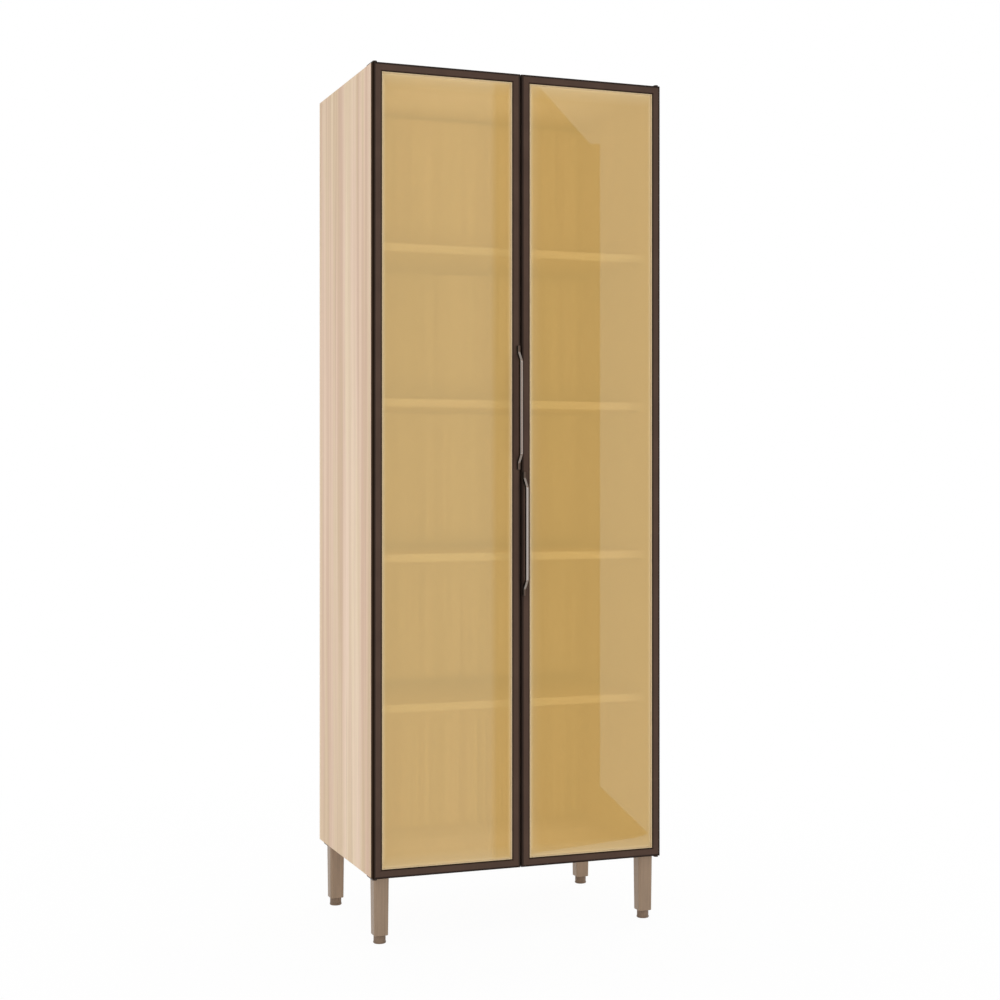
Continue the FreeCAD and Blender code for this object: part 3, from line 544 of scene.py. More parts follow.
class Finish:
    """One node material or world: adds nodes with inputs set or linked, and ends in a surface shader."""

    def __init__(self, name, of_world=False):
        self.owner = (bpy.data.worlds if of_world else bpy.data.materials).new(name)
        self.owner.use_nodes = True
        self.tree = self.owner.node_tree
        self.tree.nodes.clear()
        self.output = self.tree.nodes.new("ShaderNodeOutputWorld" if of_world else "ShaderNodeOutputMaterial")

    def node(self, kind, inputs=None, output=0, **settings):
        """One output of a new node of that kind, which has these inputs and settings."""
        made = self.tree.nodes.new(kind)
        for key, value in settings.items():
            setattr(made, key, value)
        for key, value in (inputs or {}).items():
            if isinstance(value, bpy.types.NodeSocket):
                self.tree.links.new(value, made.inputs[key])
            else:
                made.inputs[key].default_value = value
        return made.outputs[output]

    def place(self, stretch=(1.0, 1.0, 1.0)):
        """Object coordinates, scaled along each axis."""
        source = self.node("ShaderNodeTexCoord", output="Object")
        return self.node("ShaderNodeMapping", {"Vector": source, "Scale": stretch})

    def axis(self, name):
        """One of the Object coordinates."""
        return self.node("ShaderNodeSeparateXYZ", {"Vector": self.place()}, name)

    def noise(self, scale, detail=2.0, roughness=0.5, stretch=(1.0, 1.0, 1.0)):
        """Soft noise between 0 and 1, drawn out along an axis by a small stretch there."""
        inputs = {"Vector": self.place(stretch), "Scale": scale, "Detail": detail, "Roughness": roughness}
        return self.node("ShaderNodeTexNoise", inputs)

    def ramp(self, value, stops):
        """Colours spread over a value, at the given stops."""
        spread = self.node("ShaderNodeValToRGB", {"Fac": value})
        points = spread.node.color_ramp.elements
        while len(points) < len(stops):
            points.new(0.5)
        for point, (position, colour) in zip(points, stops):
            point.position = position
            point.color = (*colour, 1.0)
        return spread

    def tones(self, value, colour, *stops):
        """Shares of one colour spread over a value, at the given stops."""
        return self.ramp(value, [(position, shaded(colour, share)) for position, share in stops])

    def span(self, value, low, high, start=0.0, end=1.0):
        """The value's range from start to end carried to low to high."""
        inputs = {"Value": value, "From Min": start, "From Max": end, "To Min": low, "To Max": high}
        return self.node("ShaderNodeMapRange", inputs)

    def sum(self, operation, first, second=0.0):
        """Arithmetic on two values."""
        return self.node("ShaderNodeMath", {0: first, 1: second}, operation=operation)

    def mix(self, share, first, second, mode="MIX"):
        """A colour mixed by a share with another, which may be plain."""
        second = second if isinstance(second, bpy.types.NodeSocket) else (*second, 1.0)
        inputs = {0: share, 6: first, 7: second}
        return self.node("ShaderNodeMix", inputs, 2, data_type="RGBA", blend_type=mode)

    def blend(self, share, first, second):
        """Two shaders mixed by a share."""
        return self.node("ShaderNodeMixShader", {0: share, 1: first, 2: second})

    def inset(self, low, high):
        """Metres inwards from the sides and from the ends of a box in a door; the doors mirror each other."""
        inwards = []
        for place, axis in ((self.sum("ABSOLUTE", self.axis("X")), 0), (self.axis("Z"), 2)):
            middle, half = abs(low[axis] + high[axis]) / 2, (high[axis] - low[axis]) / 2
            away = self.sum("ABSOLUTE", self.sum("SUBTRACT", place, middle))
            inwards.append(self.sum("SUBTRACT", half, away))
        return inwards

    def bump(self, height, distance, strength=0.5):
        """Surface relief of that depth in metres."""
        inputs = {"Height": height, "Distance": distance, "Strength": strength}
        return self.node("ShaderNodeBump", inputs)

    def surface(self, colour, roughness, normal, **sockets):
        """Principled surface from a colour, roughness and relief, with the other sockets set to plain values."""
        inputs = {"Base Color": colour, "Roughness": roughness, "Normal": normal}
        inputs.update({key.replace("_", " "): value for key, value in sockets.items()})
        return self.end(self.node("ShaderNodeBsdfPrincipled", inputs))

    def end(self, shader):
        """Joins the last shader to the output."""
        self.tree.links.new(shader, self.output.inputs["Surface"])
        return self.owner


def painted_joint_shade(made, tone):
    """Painted shade: darkens a tone beside the groove under the top panel and just above each shelf."""
    level = made.axis("Z")
    painted_shade_colour = shaded(bpy.context.scene.bookcase_colours.laminate_dark, 0.3)
    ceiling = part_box("top_panel")[0][2]
    start, full = (ceiling - below for below in CEILING_SHADOW)
    tone = made.mix(made.span(level, 0.0, 0.85, start, full), tone, painted_shade_colour)
    for shelf in SHELVES:
        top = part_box(shelf)[1][2]
        near = made.span(level, 0.0, 1.0, top - SHELF_SHADOW, top + SHELF_SHADOW)
        shadow = made.tones(near, WHITE, (0.49, 0.0), (0.5, 0.75), (0.6, 0.6), (0.8, 0.0))
        tone = made.mix(shadow, tone, painted_shade_colour)
    return tone


def painted_shelf_light_and_shade(made, tone):
    """Painted light and shade on a shelf: its tone is lifted at the front edge and falls off to the back of the
    case.
    """
    low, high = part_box(SHELVES[0])
    share = made.span(made.axis("Y"), 0.0, 1.0, low[1], high[1])
    light = made.tones(share, WHITE, (0.0, 1.18), (0.35, 1.05), (0.7, 0.75), (1.0, 0.55))
    return made.mix(1.0, tone, light, "MULTIPLY")


def cool_band_with_painted_light(made, tone):
    """Makes a band's tone cooler than its board's, and paler as painted light on the shelves' front edges."""
    return made.mix(1.0, tone, (1.03, 1.13, 1.35), "MULTIPLY")


def laminate(name, colours, stretch, strength=1.0, shade=None):
    """Wood laminate: broad streaks from dark to pale, pink and yellow drifts, thin darker lines and fine pores.

    All are noise drawn out along the grain. A higher strength draws the streaks' tones and lines harder. A shade
    is a function that paints light and shade onto the tone from place to place."""
    made = Finish(name)
    broad = made.noise(27.0, 2.5, 0.55, stretch)
    tint = made.noise(22.0, stretch=tuple(min(1.0, 4.0 * share) for share in stretch))
    lines = made.noise(95.0, 3.0, 0.6, stretch)
    pores = made.noise(420.0, stretch=shaded(stretch, 3.0))
    reach, harder = 0.13 / strength, max(0.0, strength - 1.0)
    streaks = made.ramp(broad, (
        (0.5 - reach, colours.laminate_dark), (0.5 - 0.2 * reach, colours.laminate),
        (0.5 + 0.2 * reach, colours.laminate), (0.5 + reach, colours.laminate_light),
    ))
    drifts = made.ramp(tint, ((0.40, colours.laminate_sand), (0.60, colours.laminate_rose)))
    tone = made.mix(made.span(pores, 0.35, 0.45), streaks, drifts)
    dark = shaded(colours.laminate_dark, 0.84 - 0.12 * harder)
    lined = made.span(lines, min(1.0, 0.45 * strength), 0.0, 0.30, 0.44 + 0.02 * harder)
    tone = made.mix(lined, tone, dark)
    tone = made.mix(made.span(pores, 0.16, 0.0, 0.30, 0.50), tone, dark)
    if shade is not None:
        tone = shade(made, tone)
    relief = made.bump(made.sum("ADD", lines, pores), 0.00012)
    return made.surface(tone, made.span(pores, 0.62, 0.5), relief, Specular_IOR_Level=0.22)


def frame_paint(name, colours, paint, low_gloss, specular, shaded_edges=False, rear=None):
    """Powder paint on drawn bars: fine orange-peel relief, cloudy tone and faint drawn lines along the bars.

    Edged paint darkens as painted shade towards both edges of the bars' faces. Where a rear paint is named, the
    paint drifts to it from the front to the back of the doors: the frames' sides start dark, as painted shade."""
    made = Finish(name)
    colour = getattr(colours, paint)
    grain = made.noise(1500.0)
    cloud = made.noise(14.0, 3.0)
    drawn = made.noise(700.0, stretch=(1.0, 1.0, 0.02))
    tone = made.tones(cloud, colour, (0.3, 0.9), (0.7, 1.1))
    tone = made.mix(made.span(drawn, 0.0, 0.12, 0.4, 0.8), tone, shaded(colour, 1.6))
    if shaded_edges:
        # Painted shade: the faces darken towards their outer and inner edges
        face = bpy.context.scene.bookcase_sizes.frame_face
        insets = made.inset(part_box("left_door_bottom_rail")[0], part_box("left_door_top_rail")[1])
        edges = made.ramp(made.span(made.sum("MINIMUM", *insets), 0.0, 1.0, 0.0, face), (
            (0.20, (0.33, 0.33, 0.33)), (0.27, WHITE), (0.80, WHITE), (0.88, (0.5, 0.47, 0.44)),
        ))
        tone = made.mix(1.0, tone, edges, "MULTIPLY")
    if rear is not None:
        low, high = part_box("left_door_hinge_stile")
        depth = made.span(made.axis("Y"), 0.0, 1.0, low[1] + 0.006, high[1] - 0.003)
        tone = made.mix(depth, tone, getattr(colours, rear))
    rough = made.span(cloud, low_gloss, low_gloss + 0.12)
    return made.surface(tone, rough, made.bump(grain, 0.00003, 0.6), Specular_IOR_Level=specular)


def amber_glass(name, colours):
    """Satin amber pane: its front scatters a share of the light as a veil, and the rest passes, tinted.

    The front also mirrors by its angle. Painted light makes the veil paler near the edges, over a wider border at
    the ends than at the sides. Light on its way into the case passes without the veil."""
    made = Finish(name)
    insets = made.inset(*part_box("left_door_glass"))
    to_side, to_end = (made.span(inset, 0.0, 1.0, 0.0, PAINTED_EDGE_LIGHT_REACH) for inset in insets)
    edge_light_at_sides = made.tones(to_side, WHITE, (0.21, 1.0), (0.28, 0.5), (0.35, 0.12), (0.45, 0.0))
    fading = ((0.21, 1.0), (0.28, 0.6), (0.35, 0.33), (0.5, 0.22), (0.75, 0.08), (0.95, 0.0))
    edge_light_at_ends = made.tones(to_end, WHITE, *fading)
    tint = made.tones(made.noise(3.0), colours.glass, (0.3, 0.996), (0.7, 1.0))
    clear = made.node("ShaderNodeBsdfTransparent", {"Color": tint})
    veil = made.tones(made.noise(900.0), colours.glass_veil, (0.3, 0.97), (0.7, 1.03))
    veil = made.mix(made.sum("MAXIMUM", edge_light_at_sides, edge_light_at_ends), veil, colours.glass_border)
    scatter = made.node("ShaderNodeBsdfDiffuse", {"Color": veil})
    facing = made.sum("SUBTRACT", 1.0, made.node("ShaderNodeNewGeometry", output="Backfacing"))
    lit = made.sum("SUBTRACT", 1.0, made.node("ShaderNodeLightPath", output="Is Shadow Ray"))
    veiled = made.sum("MULTIPLY", made.sum("MULTIPLY", facing, lit), GLASS_VEIL)
    wiped = made.span(made.noise(9.0, 4.0, stretch=(1.0, 1.0, 0.4)), 0.0, 0.03)
    mirror = made.node("ShaderNodeBsdfGlossy", {"Color": (*WHITE, 1.0), "Roughness": wiped})
    mirrored = made.sum("MULTIPLY", made.node("ShaderNodeFresnel", {"IOR": GLASS_INDEX}), facing)
    return made.end(made.blend(mirrored, made.blend(veiled, clear, scatter), mirror))


def soft_gasket(name, colours):
    """Soft extruded gasket: fine mottling with a dull shine."""
    made = Finish(name)
    mottle = made.noise(260.0, 3.0)
    tone = made.tones(mottle, colours.gasket, (0.3, 0.9), (0.7, 1.05))
    return made.surface(tone, made.span(mottle, 0.45, 0.6), made.bump(mottle, 0.00008), Specular_IOR_Level=0.35)


def polished_metal(name, colours, metal, smooth, rough):
    """Polished metal: fine lines of the polishing along the strap, with a roughness that drifts slowly."""
    made = Finish(name)
    lines = made.noise(2600.0, 3.0, stretch=(1.0, 1.0, 0.015))
    drift = made.noise(30.0, stretch=(1.0, 1.0, 0.4))
    tone = made.tones(lines, getattr(colours, metal), (0.3, 0.9), (0.7, 1.04))
    return made.surface(tone, made.span(drift, smooth, rough), made.bump(lines, 0.00001), Metallic=1.0)


def leg_finish(name, colours):
    """Champagne metal coat: fine flakes, soft upright streaks and a satin shine."""
    made = Finish(name)
    flakes = made.noise(1800.0)
    streaks = made.noise(210.0, 3.0, stretch=(1.0, 1.0, 0.03))
    tone = made.tones(streaks, colours.leg, (0.25, 0.84), (0.5, 1.0), (0.75, 1.12))
    tone = made.mix(made.span(flakes, 0.0, 0.25, 0.5, 0.8), tone, shaded(colours.leg, 1.5))
    relief = made.bump(flakes, 0.00003)
    return made.surface(tone, made.span(streaks, 0.3, 0.42), relief, Metallic=0.35, Specular_IOR_Level=0.4)


def moulded(name, colours, material, grain_scale, low_gloss, specular=0.4, transmission=0.0):
    """Moulded or pressed piece: a fine spark-eroded texture with slight clouds of tone."""
    made = Finish(name)
    grain = made.noise(grain_scale)
    cloud = made.noise(60.0)
    tone = made.tones(cloud, getattr(colours, material), (0.3, 0.88), (0.7, 1.1))
    relief = made.bump(grain, 0.00006, 0.6)
    rough = made.span(grain, low_gloss, low_gloss + 0.15)
    return made.surface(tone, rough, relief, Specular_IOR_Level=specular, Transmission_Weight=transmission)


def plated_steel(name, colours):
    """Zinc-plated steel: a faint spangle of light and dark patches with fine rolling lines."""
    made = Finish(name)
    cells = made.node("ShaderNodeTexVoronoi", {"Vector": made.place(), "Scale": 260.0}, "Color")
    spangle = made.node("ShaderNodeSeparateColor", {"Color": cells}, "Red")
    lines = made.noise(1400.0, stretch=(0.04, 1.0, 1.0))
    tone = made.tones(spangle, colours.steel, (0.0, 0.82), (1.0, 1.06))
    return made.surface(tone, made.span(spangle, 0.28, 0.44), made.bump(lines, 0.00001, 0.4), Metallic=1.0)


def beech(name, colours):
    """Beech: short dark flecks and soft rings along the dowels."""
    made = Finish(name)
    grain = made.noise(900.0, 3.0, stretch=(0.05, 1.0, 1.0))
    tone = made.tones(grain, colours.dowel, (0.32, 0.72), (0.6, 1.0))
    return made.surface(tone, made.span(grain, 0.7, 0.55), made.bump(grain, 0.0001), Specular_IOR_Level=0.25)


def pale_floor(name, colours):
    """Plain floor: white where a camera, mirror or glass sees it, less a share of the shadow near the object."""
    made = Finish(name)
    tone = made.tones(made.noise(1.5), colours.floor, (0.3, 0.99), (0.7, 1.0))
    ground = made.node("ShaderNodeBsdfDiffuse", {"Color": tone})
    white = made.node("ShaderNodeEmission", {"Color": (*WHITE, 1.0), "Strength": 1.0})
    far = made.node("ShaderNodeVectorMath", {0: made.place()}, "Value", operation="LENGTH")
    share = made.sum("MULTIPLY", seen_rays(made), made.span(far, 0.96, 1.0, 0.5, 2.2))
    return made.end(made.blend(share, ground, white))


def seen_rays(made):
    """1 for rays from the camera, a mirror or glass, 0 for the rays that light the object."""
    kinds = ("Is Camera Ray", "Is Glossy Ray", "Is Transmission Ray")
    camera, glossy, through = (made.node("ShaderNodeLightPath", output=kind) for kind in kinds)
    return made.sum("MAXIMUM", made.sum("MAXIMUM", camera, glossy), through)


def card_reach():
    """How far the card lies from the eye's mirror image, as a multiple of the glass plane's distance."""
    glass_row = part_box("left_door_glass")[0][1]
    return 1 + (glass_row - CARD_ROW) / (glass_row - EYE[1])


def brown_card():
    """Glowing card, a painted reflection: a darker brown field in the glass with pale soft-edged strips across it.
    """
    made = Finish("Brown card")
    places = EYE[0] + (np.array([place for place, _ in CARD_STRIPS]) - EYE[0]) * card_reach()
    start, end = float(places[0]), float(places[-1])
    shares = (places - start) / (end - start)
    stops = [(float(share), colour) for share, (_, colour) in zip(shares, CARD_STRIPS)]
    strips = made.ramp(made.span(made.axis("X"), 0.0, 1.0, start, end), stops)
    return made.end(made.node("ShaderNodeEmission", {"Color": strips, "Strength": 1.0}))


FINISHES = {
    "Laminate upright": (laminate, (1.0, 1.0, 0.015)),
    # The back panel's inside carries painted shade below the top panel and above each shelf
    "Laminate inside": (laminate, (2.0, 2.0, 0.016), 2.5, painted_joint_shade),
    "Laminate level": (laminate, (0.015, 1.0, 1.0)),
    # Shelf tops: painted light at the front edge and painted shade towards the back
    "Shelf level": (laminate, (0.015, 1.0, 1.0), 1.0, painted_shelf_light_and_shade),
    "Band upright": (laminate, (1.0, 1.0, 0.06), 0.7),
    "Band level": (laminate, (0.06, 1.0, 1.0), 0.7),
    # Shelf bands: paler as painted light, and cooler in tone
    "Shelf band": (laminate, (0.06, 1.0, 1.0), 0.7, cool_band_with_painted_light),
    # Frame paints: painted shade towards the faces' edges, and on the frames' sides
    "Frame face paint": (frame_paint, "frame_face", 0.42, 0.12, True),
    "Frame edge paint": (frame_paint, "frame_edge", 0.6, 0.0, False, "frame_rear"),
    "Plate paint": (frame_paint, "plate", 0.45, 0.2),
    # The glass's veil carries painted light near the panes' edges
    "Amber glass": (amber_glass,),
    "Soft gasket": (soft_gasket,),
    # Handle finishes: lit and shaded copies of one polished metal, with painted shade on the sides, slopes and
    # feet
    "Handle polish": (polished_metal, "handle_front", 0.05, 0.09),
    "Handle bronze": (polished_metal, "handle_side", 0.3, 0.42),
    "Handle slope": (polished_metal, "handle_slope", 0.25, 0.35),
    "Handle foot": (polished_metal, "handle_foot", 0.3, 0.42),
    "Leg coat": (leg_finish,),
    "Foot plastic": (moulded, "foot", 900.0, 0.4),
    "Bush nylon": (moulded, "nylon", 1200.0, 0.35),
    "Cast cleat": (moulded, "cleat", 500.0, 0.4, 0.6),
    "Catch plastic": (moulded, "catch", 1100.0, 0.45),
    "Ferrite": (moulded, "magnet", 700.0, 0.5, 0.5),
    "Bumper": (moulded, "bumper", 800.0, 0.2, 0.5, 0.5),
    "Plated steel": (plated_steel,),
    "Beech": (beech,),
    "Pale floor": (pale_floor,),
}


def finish_of(name):
    """The finish of that name, made the first time it is asked for."""
    known = bpy.data.materials.get(name)
    if known is not None:
        return known
    maker, *details = FINISHES[name]
    return maker(name, bpy.context.scene.bookcase_colours, *details)


# Operators, one for each group of like pieces


class BOOKCASE_OT_panels(bpy.types.Operator):
    """Adds the side, top, bottom and back panels of the carcass"""

    bl_idname = "bookcase.panels"
    bl_label = "Carcass Panels"

    def execute(self, context):
        sizes = context.scene.bookcase_sizes
        boards = {
            "left_side_panel": "upright", "right_side_panel": "upright",
            "top_panel": "level", "bottom_panel": "level",
        }
        for node, grain in boards.items():
            finishes = ("Laminate " + grain, "Band " + grain)
            add_piece(node, "carcass", [banded_board(node, sizes)], finishes)
        rear_half = (np.arange(2 * EASE_STEPS - 1) >= EASE_STEPS).astype(int)[:, None]
        back = eased_panel("back_panel", sizes.back_ease, rear_half)
        add_piece("back_panel", "carcass", [back], ("Laminate inside", "Laminate upright"))
        return {"FINISHED"}


class BOOKCASE_OT_shelves(bpy.types.Operator):
    """Adds the four shelves and the collared pins that carry them"""

    bl_idname = "bookcase.shelves"
    bl_label = "Shelves"

    def execute(self, context):
        sizes = context.scene.bookcase_sizes
        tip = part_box("right_side_panel")[0][0] - PIN_REACH
        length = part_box("shelf_pins")[1][0] - tip
        radius, collar, reach = PIN_RADIUS, PIN_RADIUS + sizes.pin_collar, PIN_REACH
        bevel, mid_bevel, slope, collar_height = 0.0009, 0.0003, 0.0012, 0.001
        profile = (
            (0.0, 0.0), (radius - bevel, 0.0), (radius - mid_bevel, mid_bevel), (radius, bevel),
            (radius, reach - slope), (collar, reach - collar_height), (collar, reach), (radius, reach),
            (radius, length), (0.0, length),
        )
        pins = []
        for node in SHELVES:
            add_piece(node, "carcass", [banded_board(node, sizes)], ("Shelf level", "Shelf band"))
            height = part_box(node)[0][2] - radius
            for row in PIN_ROWS:
                pins.append(turned_profile(profile, (tip, row, height), RIGHTWARDS, sides=16))
                pins.append(turned_profile(profile, (-tip, row, height), -RIGHTWARDS, sides=16))
        add_piece("shelf_pins", "carcass", pins, ["Plated steel"])
        return {"FINISHED"}


class BOOKCASE_OT_frames(bpy.types.Operator):
    """Adds the mitred frame bars of both doors"""

    bl_idname = "bookcase.frames"
    bl_label = "Door Frames"

    def execute(self, context):
        sizes = context.scene.bookcase_sizes
        for door in DOORS:
            low, high = np.array(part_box(door + "_bottom_rail")[0]), np.array(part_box(door + "_top_rail")[1])
            width, depth, height = high - low
            section = frame_section(sizes, depth)
            middles = (section[:, 1] + np.roll(section[:, 1], -1)) / 2
            start, end = 0.02 * sizes.frame_outer_radius, depth - 0.2 * sizes.frame_rear_radius
            at_side = (middles > start) & (middles < end)
            stiles = ["hinge_stile", "meeting_stile"]
            if door == "right_door":
                stiles.reverse()
            bars = {
                stiles[0]: mitred_bar(section, low, RIGHTWARDS, UP, height),
                stiles[1]: mitred_bar(section, (high[0], low[1], low[2]), -RIGHTWARDS, UP, height),
                "bottom_rail": mitred_bar(section, low, UP, RIGHTWARDS, width),
                "top_rail": mitred_bar(section, (low[0], low[1], high[2]), -UP, RIGHTWARDS, width),
            }
            for bar, rings in bars.items():
                # The bars' sides take the dark paint with painted shade, but for the meeting stiles, which keep
                # the face paint
                sides = (at_side & (bar != "meeting_stile")).astype(int)[None, :]
                finishes = ("Frame face paint", "Frame edge paint")
                add_piece(f"{door}_{bar}", door, [skin(rings, sides)], finishes, sharp=50)
        return {"FINISHED"}


class BOOKCASE_OT_glazing(bpy.types.Operator):
    """Adds the amber panes and the gaskets round them"""

    bl_idname = "bookcase.glazing"
    bl_label = "Glass and Gaskets"

    def execute(self, context):
        sizes = context.scene.bookcase_sizes
        for door in DOORS:
            node = door + "_glass"
            add_piece(node, door, [eased_panel(node, sizes.glass_ease)], ["Amber glass"])
            low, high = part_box(door + "_bottom_rail")[0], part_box(door + "_top_rail")[1]
            loop = skin(mitred_loop(gasket_section(sizes), low, high), capped=False)
            add_piece(door + "_gasket", door, [loop], ["Soft gasket"], sharp=50)
        return {"FINISHED"}


class BOOKCASE_OT_handles(bpy.types.Operator):
    """Adds the bow handles and the screws that hold them"""

    bl_idname = "bookcase.handles"
    bl_label = "Handles"

    def execute(self, context):
        sizes = context.scene.bookcase_sizes
        half_width, half_depth = sizes.handle_width / 2, sizes.handle_thickness / 2
        crown, rear = sizes.handle_crown, 0.0005
        section = rounded_outline((
            (-half_width, -half_depth, crown), (half_width, -half_depth, crown),
            (half_width, half_depth, rear), (-half_width, half_depth, rear),
        ), 8)
        middles = (section[:, 1] + np.roll(section[:, 1], -1)) / 2
        # Only the middle of the front keeps the polish, a painted highlight line; the sides are bronze with
        # painted shade
        at_side = (middles > -0.9 * half_depth)[None, :]
        finishes = ("Handle polish", "Handle bronze", "Handle slope", "Handle foot")
        for door in DOORS:
            node = door + "_handle"
            low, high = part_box(node)
            column = middle(low, high)[0]
            stile_low, stile_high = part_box(door + "_meeting_stile")
            path = bow_path(sizes, stile_low[1] - half_depth, low[1] + half_depth, low[2], high[2])
            rings = swept_strap(path, section, column, HANDLE_END_EASE)
            levels = rings[:-1, 0, 2]
            from_end = np.minimum(levels - low[2], high[2] - levels)
            # The fronts of the slopes and feet take dimmer copies of the polish: painted shade, deeper on the feet
            fronts = np.where(from_end < sizes.handle_foot + sizes.handle_slope, 2, 0)
            fronts[from_end < 0.9 * sizes.handle_foot] = 3
            slots = np.where(at_side, 1, fronts[:, None])
            add_piece(node, door, [skin(rings, slots)], finishes, sharp=40)
            head = stile_high[1] + HANDLE_SCREW[0]
            screws = [
                recessed_screw((column, head, height), BACKWARDS, sizes, HANDLE_SCREW)
                for height in (low[2] + sizes.handle_foot / 2, high[2] - sizes.handle_foot / 2)
            ]
            add_piece(door + "_handle_screws", door, screws, ["Plated steel"], sharp=30)
        return {"FINISHED"}


class BOOKCASE_OT_legs(bpy.types.Operator):
    """Adds the four tapered legs with rounded corners"""

    bl_idname = "bookcase.legs"
    bl_label = "Legs"

    def execute(self, context):
        for place in LEGS:
            node = place + "_leg"
            rings = tapered_leg(*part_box(node), context.scene.bookcase_sizes)
            add_piece(node, "carcass", [skin(rings)], ["Leg coat"])
        return {"FINISHED"}


class BOOKCASE_OT_feet(bpy.types.Operator):
    """Adds the four levelling feet with their pads and threaded stems"""

    bl_idname = "bookcase.feet"
    bl_label = "Levelling Feet"

    def execute(self, context):
        sizes = context.scene.bookcase_sizes
        radius, pad, top, chamfer = sizes.foot_radius, sizes.foot_pad_height, sizes.foot_height, 0.0012
        for place in LEGS:
            node = place + "_levelling_foot"
            low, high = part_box(node)
            centre, wide, sunk = middle(low, high)[:2], (high[0] - low[0]) / 2, 0.001
            profile = rounded_outline((
                (0.0, 0.0, 0), (wide - chamfer, 0.0, 0.0005), (wide, chamfer, 0.0006), (wide, pad, 0.0005),
                (radius, pad + LIP_RADIUS, LIP_RADIUS), (radius, top, 0.0009), (0.0, top, 0),
            ), 5)
            body = turned_profile(profile, (*centre, low[2]), UP, sides=48)
            stem = threaded_stem(centre, low[2] + top - sunk, high[2], sizes)
            finishes = ("Foot plastic", "Plated steel")
            add_piece(node, node, [body, stem], finishes, sharp=40, flat_faces=False)
        return {"FINISHED"}


class BOOKCASE_OT_fittings(bpy.types.Operator):
    """Adds the panel screws, strike plates and door bumpers"""

    bl_idname = "bookcase.fittings"
    bl_label = "Screws, Strikes and Bumpers"

    def execute(self, context):
        sizes = context.scene.bookcase_sizes
        screws = [recessed_screw(place, facing * UP, sizes, PANEL_SCREW) for *place, facing in PANEL_SCREWS]
        add_piece("panel_screws", "carcass", screws, ["Plated steel"], sharp=30)
        for door in DOORS:
            node = door + "_strike_plate"
            add_piece(node, door, [eased_panel(node, STRIKE_EASE)], ["Plated steel"])
            node = door + "_bumpers"
            low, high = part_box(node)
            radius, depth = (high[0] - low[0]) / 2, high[1] - low[1]
            turn = np.linspace(0, math.pi / 2, 7)[:0:-1]
            dome = np.column_stack((radius * np.sin(turn), depth - depth * 0.75 * (1 - np.cos(turn))))
            profile = np.vstack(((0.0, 0.0), (radius, 0.0), dome, (0.0, depth)))
            domes = [
                turned_profile(profile, (middle(low, high)[0], low[1], height), BACKWARDS, sides=32)
                for height in (low[2] + radius, high[2] - radius)
            ]
            add_piece(node, door, domes, ["Bumper"], sharp=40, flat_faces=False)
        return {"FINISHED"}


class BOOKCASE_OT_inner_parts(bpy.types.Operator):
    """Gives the plates, brackets, pins, bushes, cleats, studs, dowels and catch their finishes"""

    bl_idname = "bookcase.inner_parts"
    bl_label = "Plates and Inner Parts"

    def execute(self, context):
        finishes = {
            "pivot_pins": "Plated steel", "leg_studs": "Plated steel", "carcass_dowels": "Beech",
            "catch_housing": "Catch plastic", "catch_magnets": "Ferrite",
            "top_left_pivot_bracket": "Plate paint", "top_right_pivot_bracket": "Plate paint",
        }
        finishes.update({place + "_leg_plate": "Plate paint" for place in LEGS})
        finishes.update({door + "_corner_cleats": "Cast cleat" for door in DOORS})
        finishes.update({door + "_pivot_bushes": "Bush nylon" for door in DOORS})
        for node, finish in finishes.items():
            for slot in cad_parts[node].material_slots:
                slot.material = finish_of(finish)
        return {"FINISHED"}


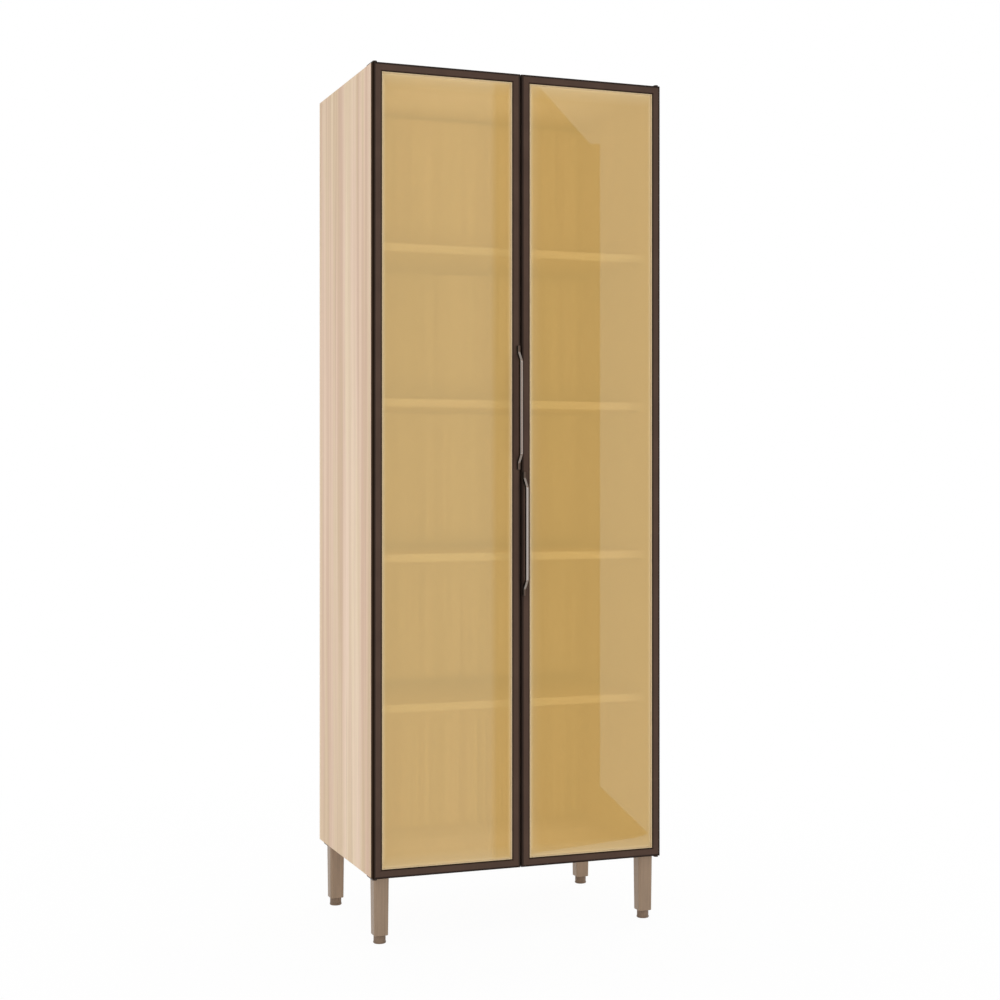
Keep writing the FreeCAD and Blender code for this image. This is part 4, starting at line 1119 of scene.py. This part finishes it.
class BOOKCASE_OT_stage(bpy.types.Operator):
    """Adds the floor, the card mirrored in the glass, the lamps, the world and the camera"""

    bl_idname = "bookcase.stage"
    bl_label = "Stage"

    def execute(self, context):
        scene = context.scene
        scene.view_settings.view_transform = "Standard"
        self.floor()
        self.card()
        self.world(scene)
        for name, settings in LAMPS.items():
            self.lamp(name, *settings)
        self.camera(scene)
        return {"FINISHED"}

    @staticmethod
    def flat_stage(name, points, finish):
        """A stage object of one flat face."""
        mesh = bpy.data.meshes.new(name)
        mesh.from_pydata(points, [], [list(range(len(points)))])
        mesh.materials.append(finish)
        made = bpy.data.objects.new(name, mesh)
        bpy.context.scene.collection.objects.link(made)
        return made

    def floor(self):
        """Square floor at the height of the feet's undersides."""
        corners = ((-1.0, -1.0, 0.0), (1.0, -1.0, 0.0), (1.0, 1.0, 0.0), (-1.0, 1.0, 0.0))
        self.flat_stage("floor", FLOOR_HALF * np.array(corners), finish_of("Pale floor"))

    def card(self):
        """Glowing card before the doors, a painted reflection; each corner is seen mirrored at its place on the
        glass.

        A mirrored corner lies on the line from the eye's mirror image through the place on the glass."""
        flat = EYE[[0, 2]] + (CARD_ON_GLASS - EYE[[0, 2]]) * card_reach()
        points = np.column_stack((flat[:, 0], np.full(len(flat), CARD_ROW), flat[:, 1]))
        card = self.flat_stage("brown_card", points, brown_card())
        card.visible_camera = card.visible_diffuse = card.visible_shadow = False
        card.visible_transmission = False

    @staticmethod
    def world(scene):
        """White behind everything that is seen, and a plain soft light from all round for the surfaces."""
        made = Finish("Studio", of_world=True)
        soft, white = (
            made.node("ShaderNodeBackground", {"Color": (*WHITE, 1.0), "Strength": strength})
            for strength in (AMBIENT, 1.0)
        )
        scene.world = made.end(made.blend(seen_rays(made), soft, white))

    @staticmethod
    def lamp(name, place, target, size, power, spread):
        """Soft lamp of that width and height, aimed at a target and left out of mirrored views."""
        light = bpy.data.lights.new(name, "AREA")
        light.shape = "RECTANGLE"
        light.size, light.size_y = size
        light.energy = power
        light.spread = math.radians(spread)
        lamp = bpy.data.objects.new(name, light)
        lamp.location = place
        aim = np.array(target) - np.array(place)
        flat = math.hypot(aim[0], aim[1])
        lamp.rotation_euler = (math.atan2(flat, -aim[2]), 0.0, math.atan2(-aim[0], aim[1]))
        lamp.visible_glossy = lamp.visible_camera = False
        bpy.context.scene.collection.objects.link(lamp)

    @staticmethod
    def camera(scene):
        """Level camera at the photograph's place and angle of view."""
        lens = bpy.data.cameras.new("Camera")
        lens.lens = LENS
        lens.sensor_width = SENSOR
        lens.shift_y = LENS_SHIFT
        camera = bpy.data.objects.new("Camera", lens)
        camera.location = EYE
        camera.rotation_euler = (math.pi / 2, 0.0, -EYE_TURN)
        scene.collection.objects.link(camera)
        scene.camera = camera


OPERATORS = (
    BOOKCASE_OT_panels, BOOKCASE_OT_shelves, BOOKCASE_OT_frames, BOOKCASE_OT_glazing, BOOKCASE_OT_handles,
    BOOKCASE_OT_legs, BOOKCASE_OT_feet, BOOKCASE_OT_fittings, BOOKCASE_OT_inner_parts, BOOKCASE_OT_stage,
)


class BOOKCASE_PT_panel(bpy.types.Panel):
    """Lists the bookcase's pieces, sizes and colours"""

    bl_idname = "BOOKCASE_PT_panel"
    bl_label = "Bookcase"
    bl_space_type = "VIEW_3D"
    bl_region_type = "UI"
    bl_category = "Bookcase"

    def draw(self, context):
        for operator in OPERATORS:
            self.layout.operator(operator.bl_idname)
        for group in (context.scene.bookcase_sizes, context.scene.bookcase_colours):
            box = self.layout.box()
            for key in group.bl_rna.properties.keys():
                if key not in ("rna_type", "name"):
                    box.prop(group, key)


CLASSES = (BookcaseSizes, BookcaseColours, *OPERATORS, BOOKCASE_PT_panel)


def register():
    for kind in CLASSES:
        bpy.utils.register_class(kind)
    bpy.types.Scene.bookcase_sizes = bpy.props.PointerProperty(type=BookcaseSizes)
    bpy.types.Scene.bookcase_colours = bpy.props.PointerProperty(type=BookcaseColours)


def unregister():
    del bpy.types.Scene.bookcase_colours
    del bpy.types.Scene.bookcase_sizes
    for kind in reversed(CLASSES):
        bpy.utils.unregister_class(kind)


def main():
    register()
    bpy.ops.bookcase.panels()
    bpy.ops.bookcase.shelves()
    bpy.ops.bookcase.frames()
    bpy.ops.bookcase.glazing()
    bpy.ops.bookcase.handles()
    bpy.ops.bookcase.legs()
    bpy.ops.bookcase.feet()
    bpy.ops.bookcase.fittings()
    bpy.ops.bookcase.inner_parts()
    bpy.ops.bookcase.stage()


if __name__ == "__main__":
    main()
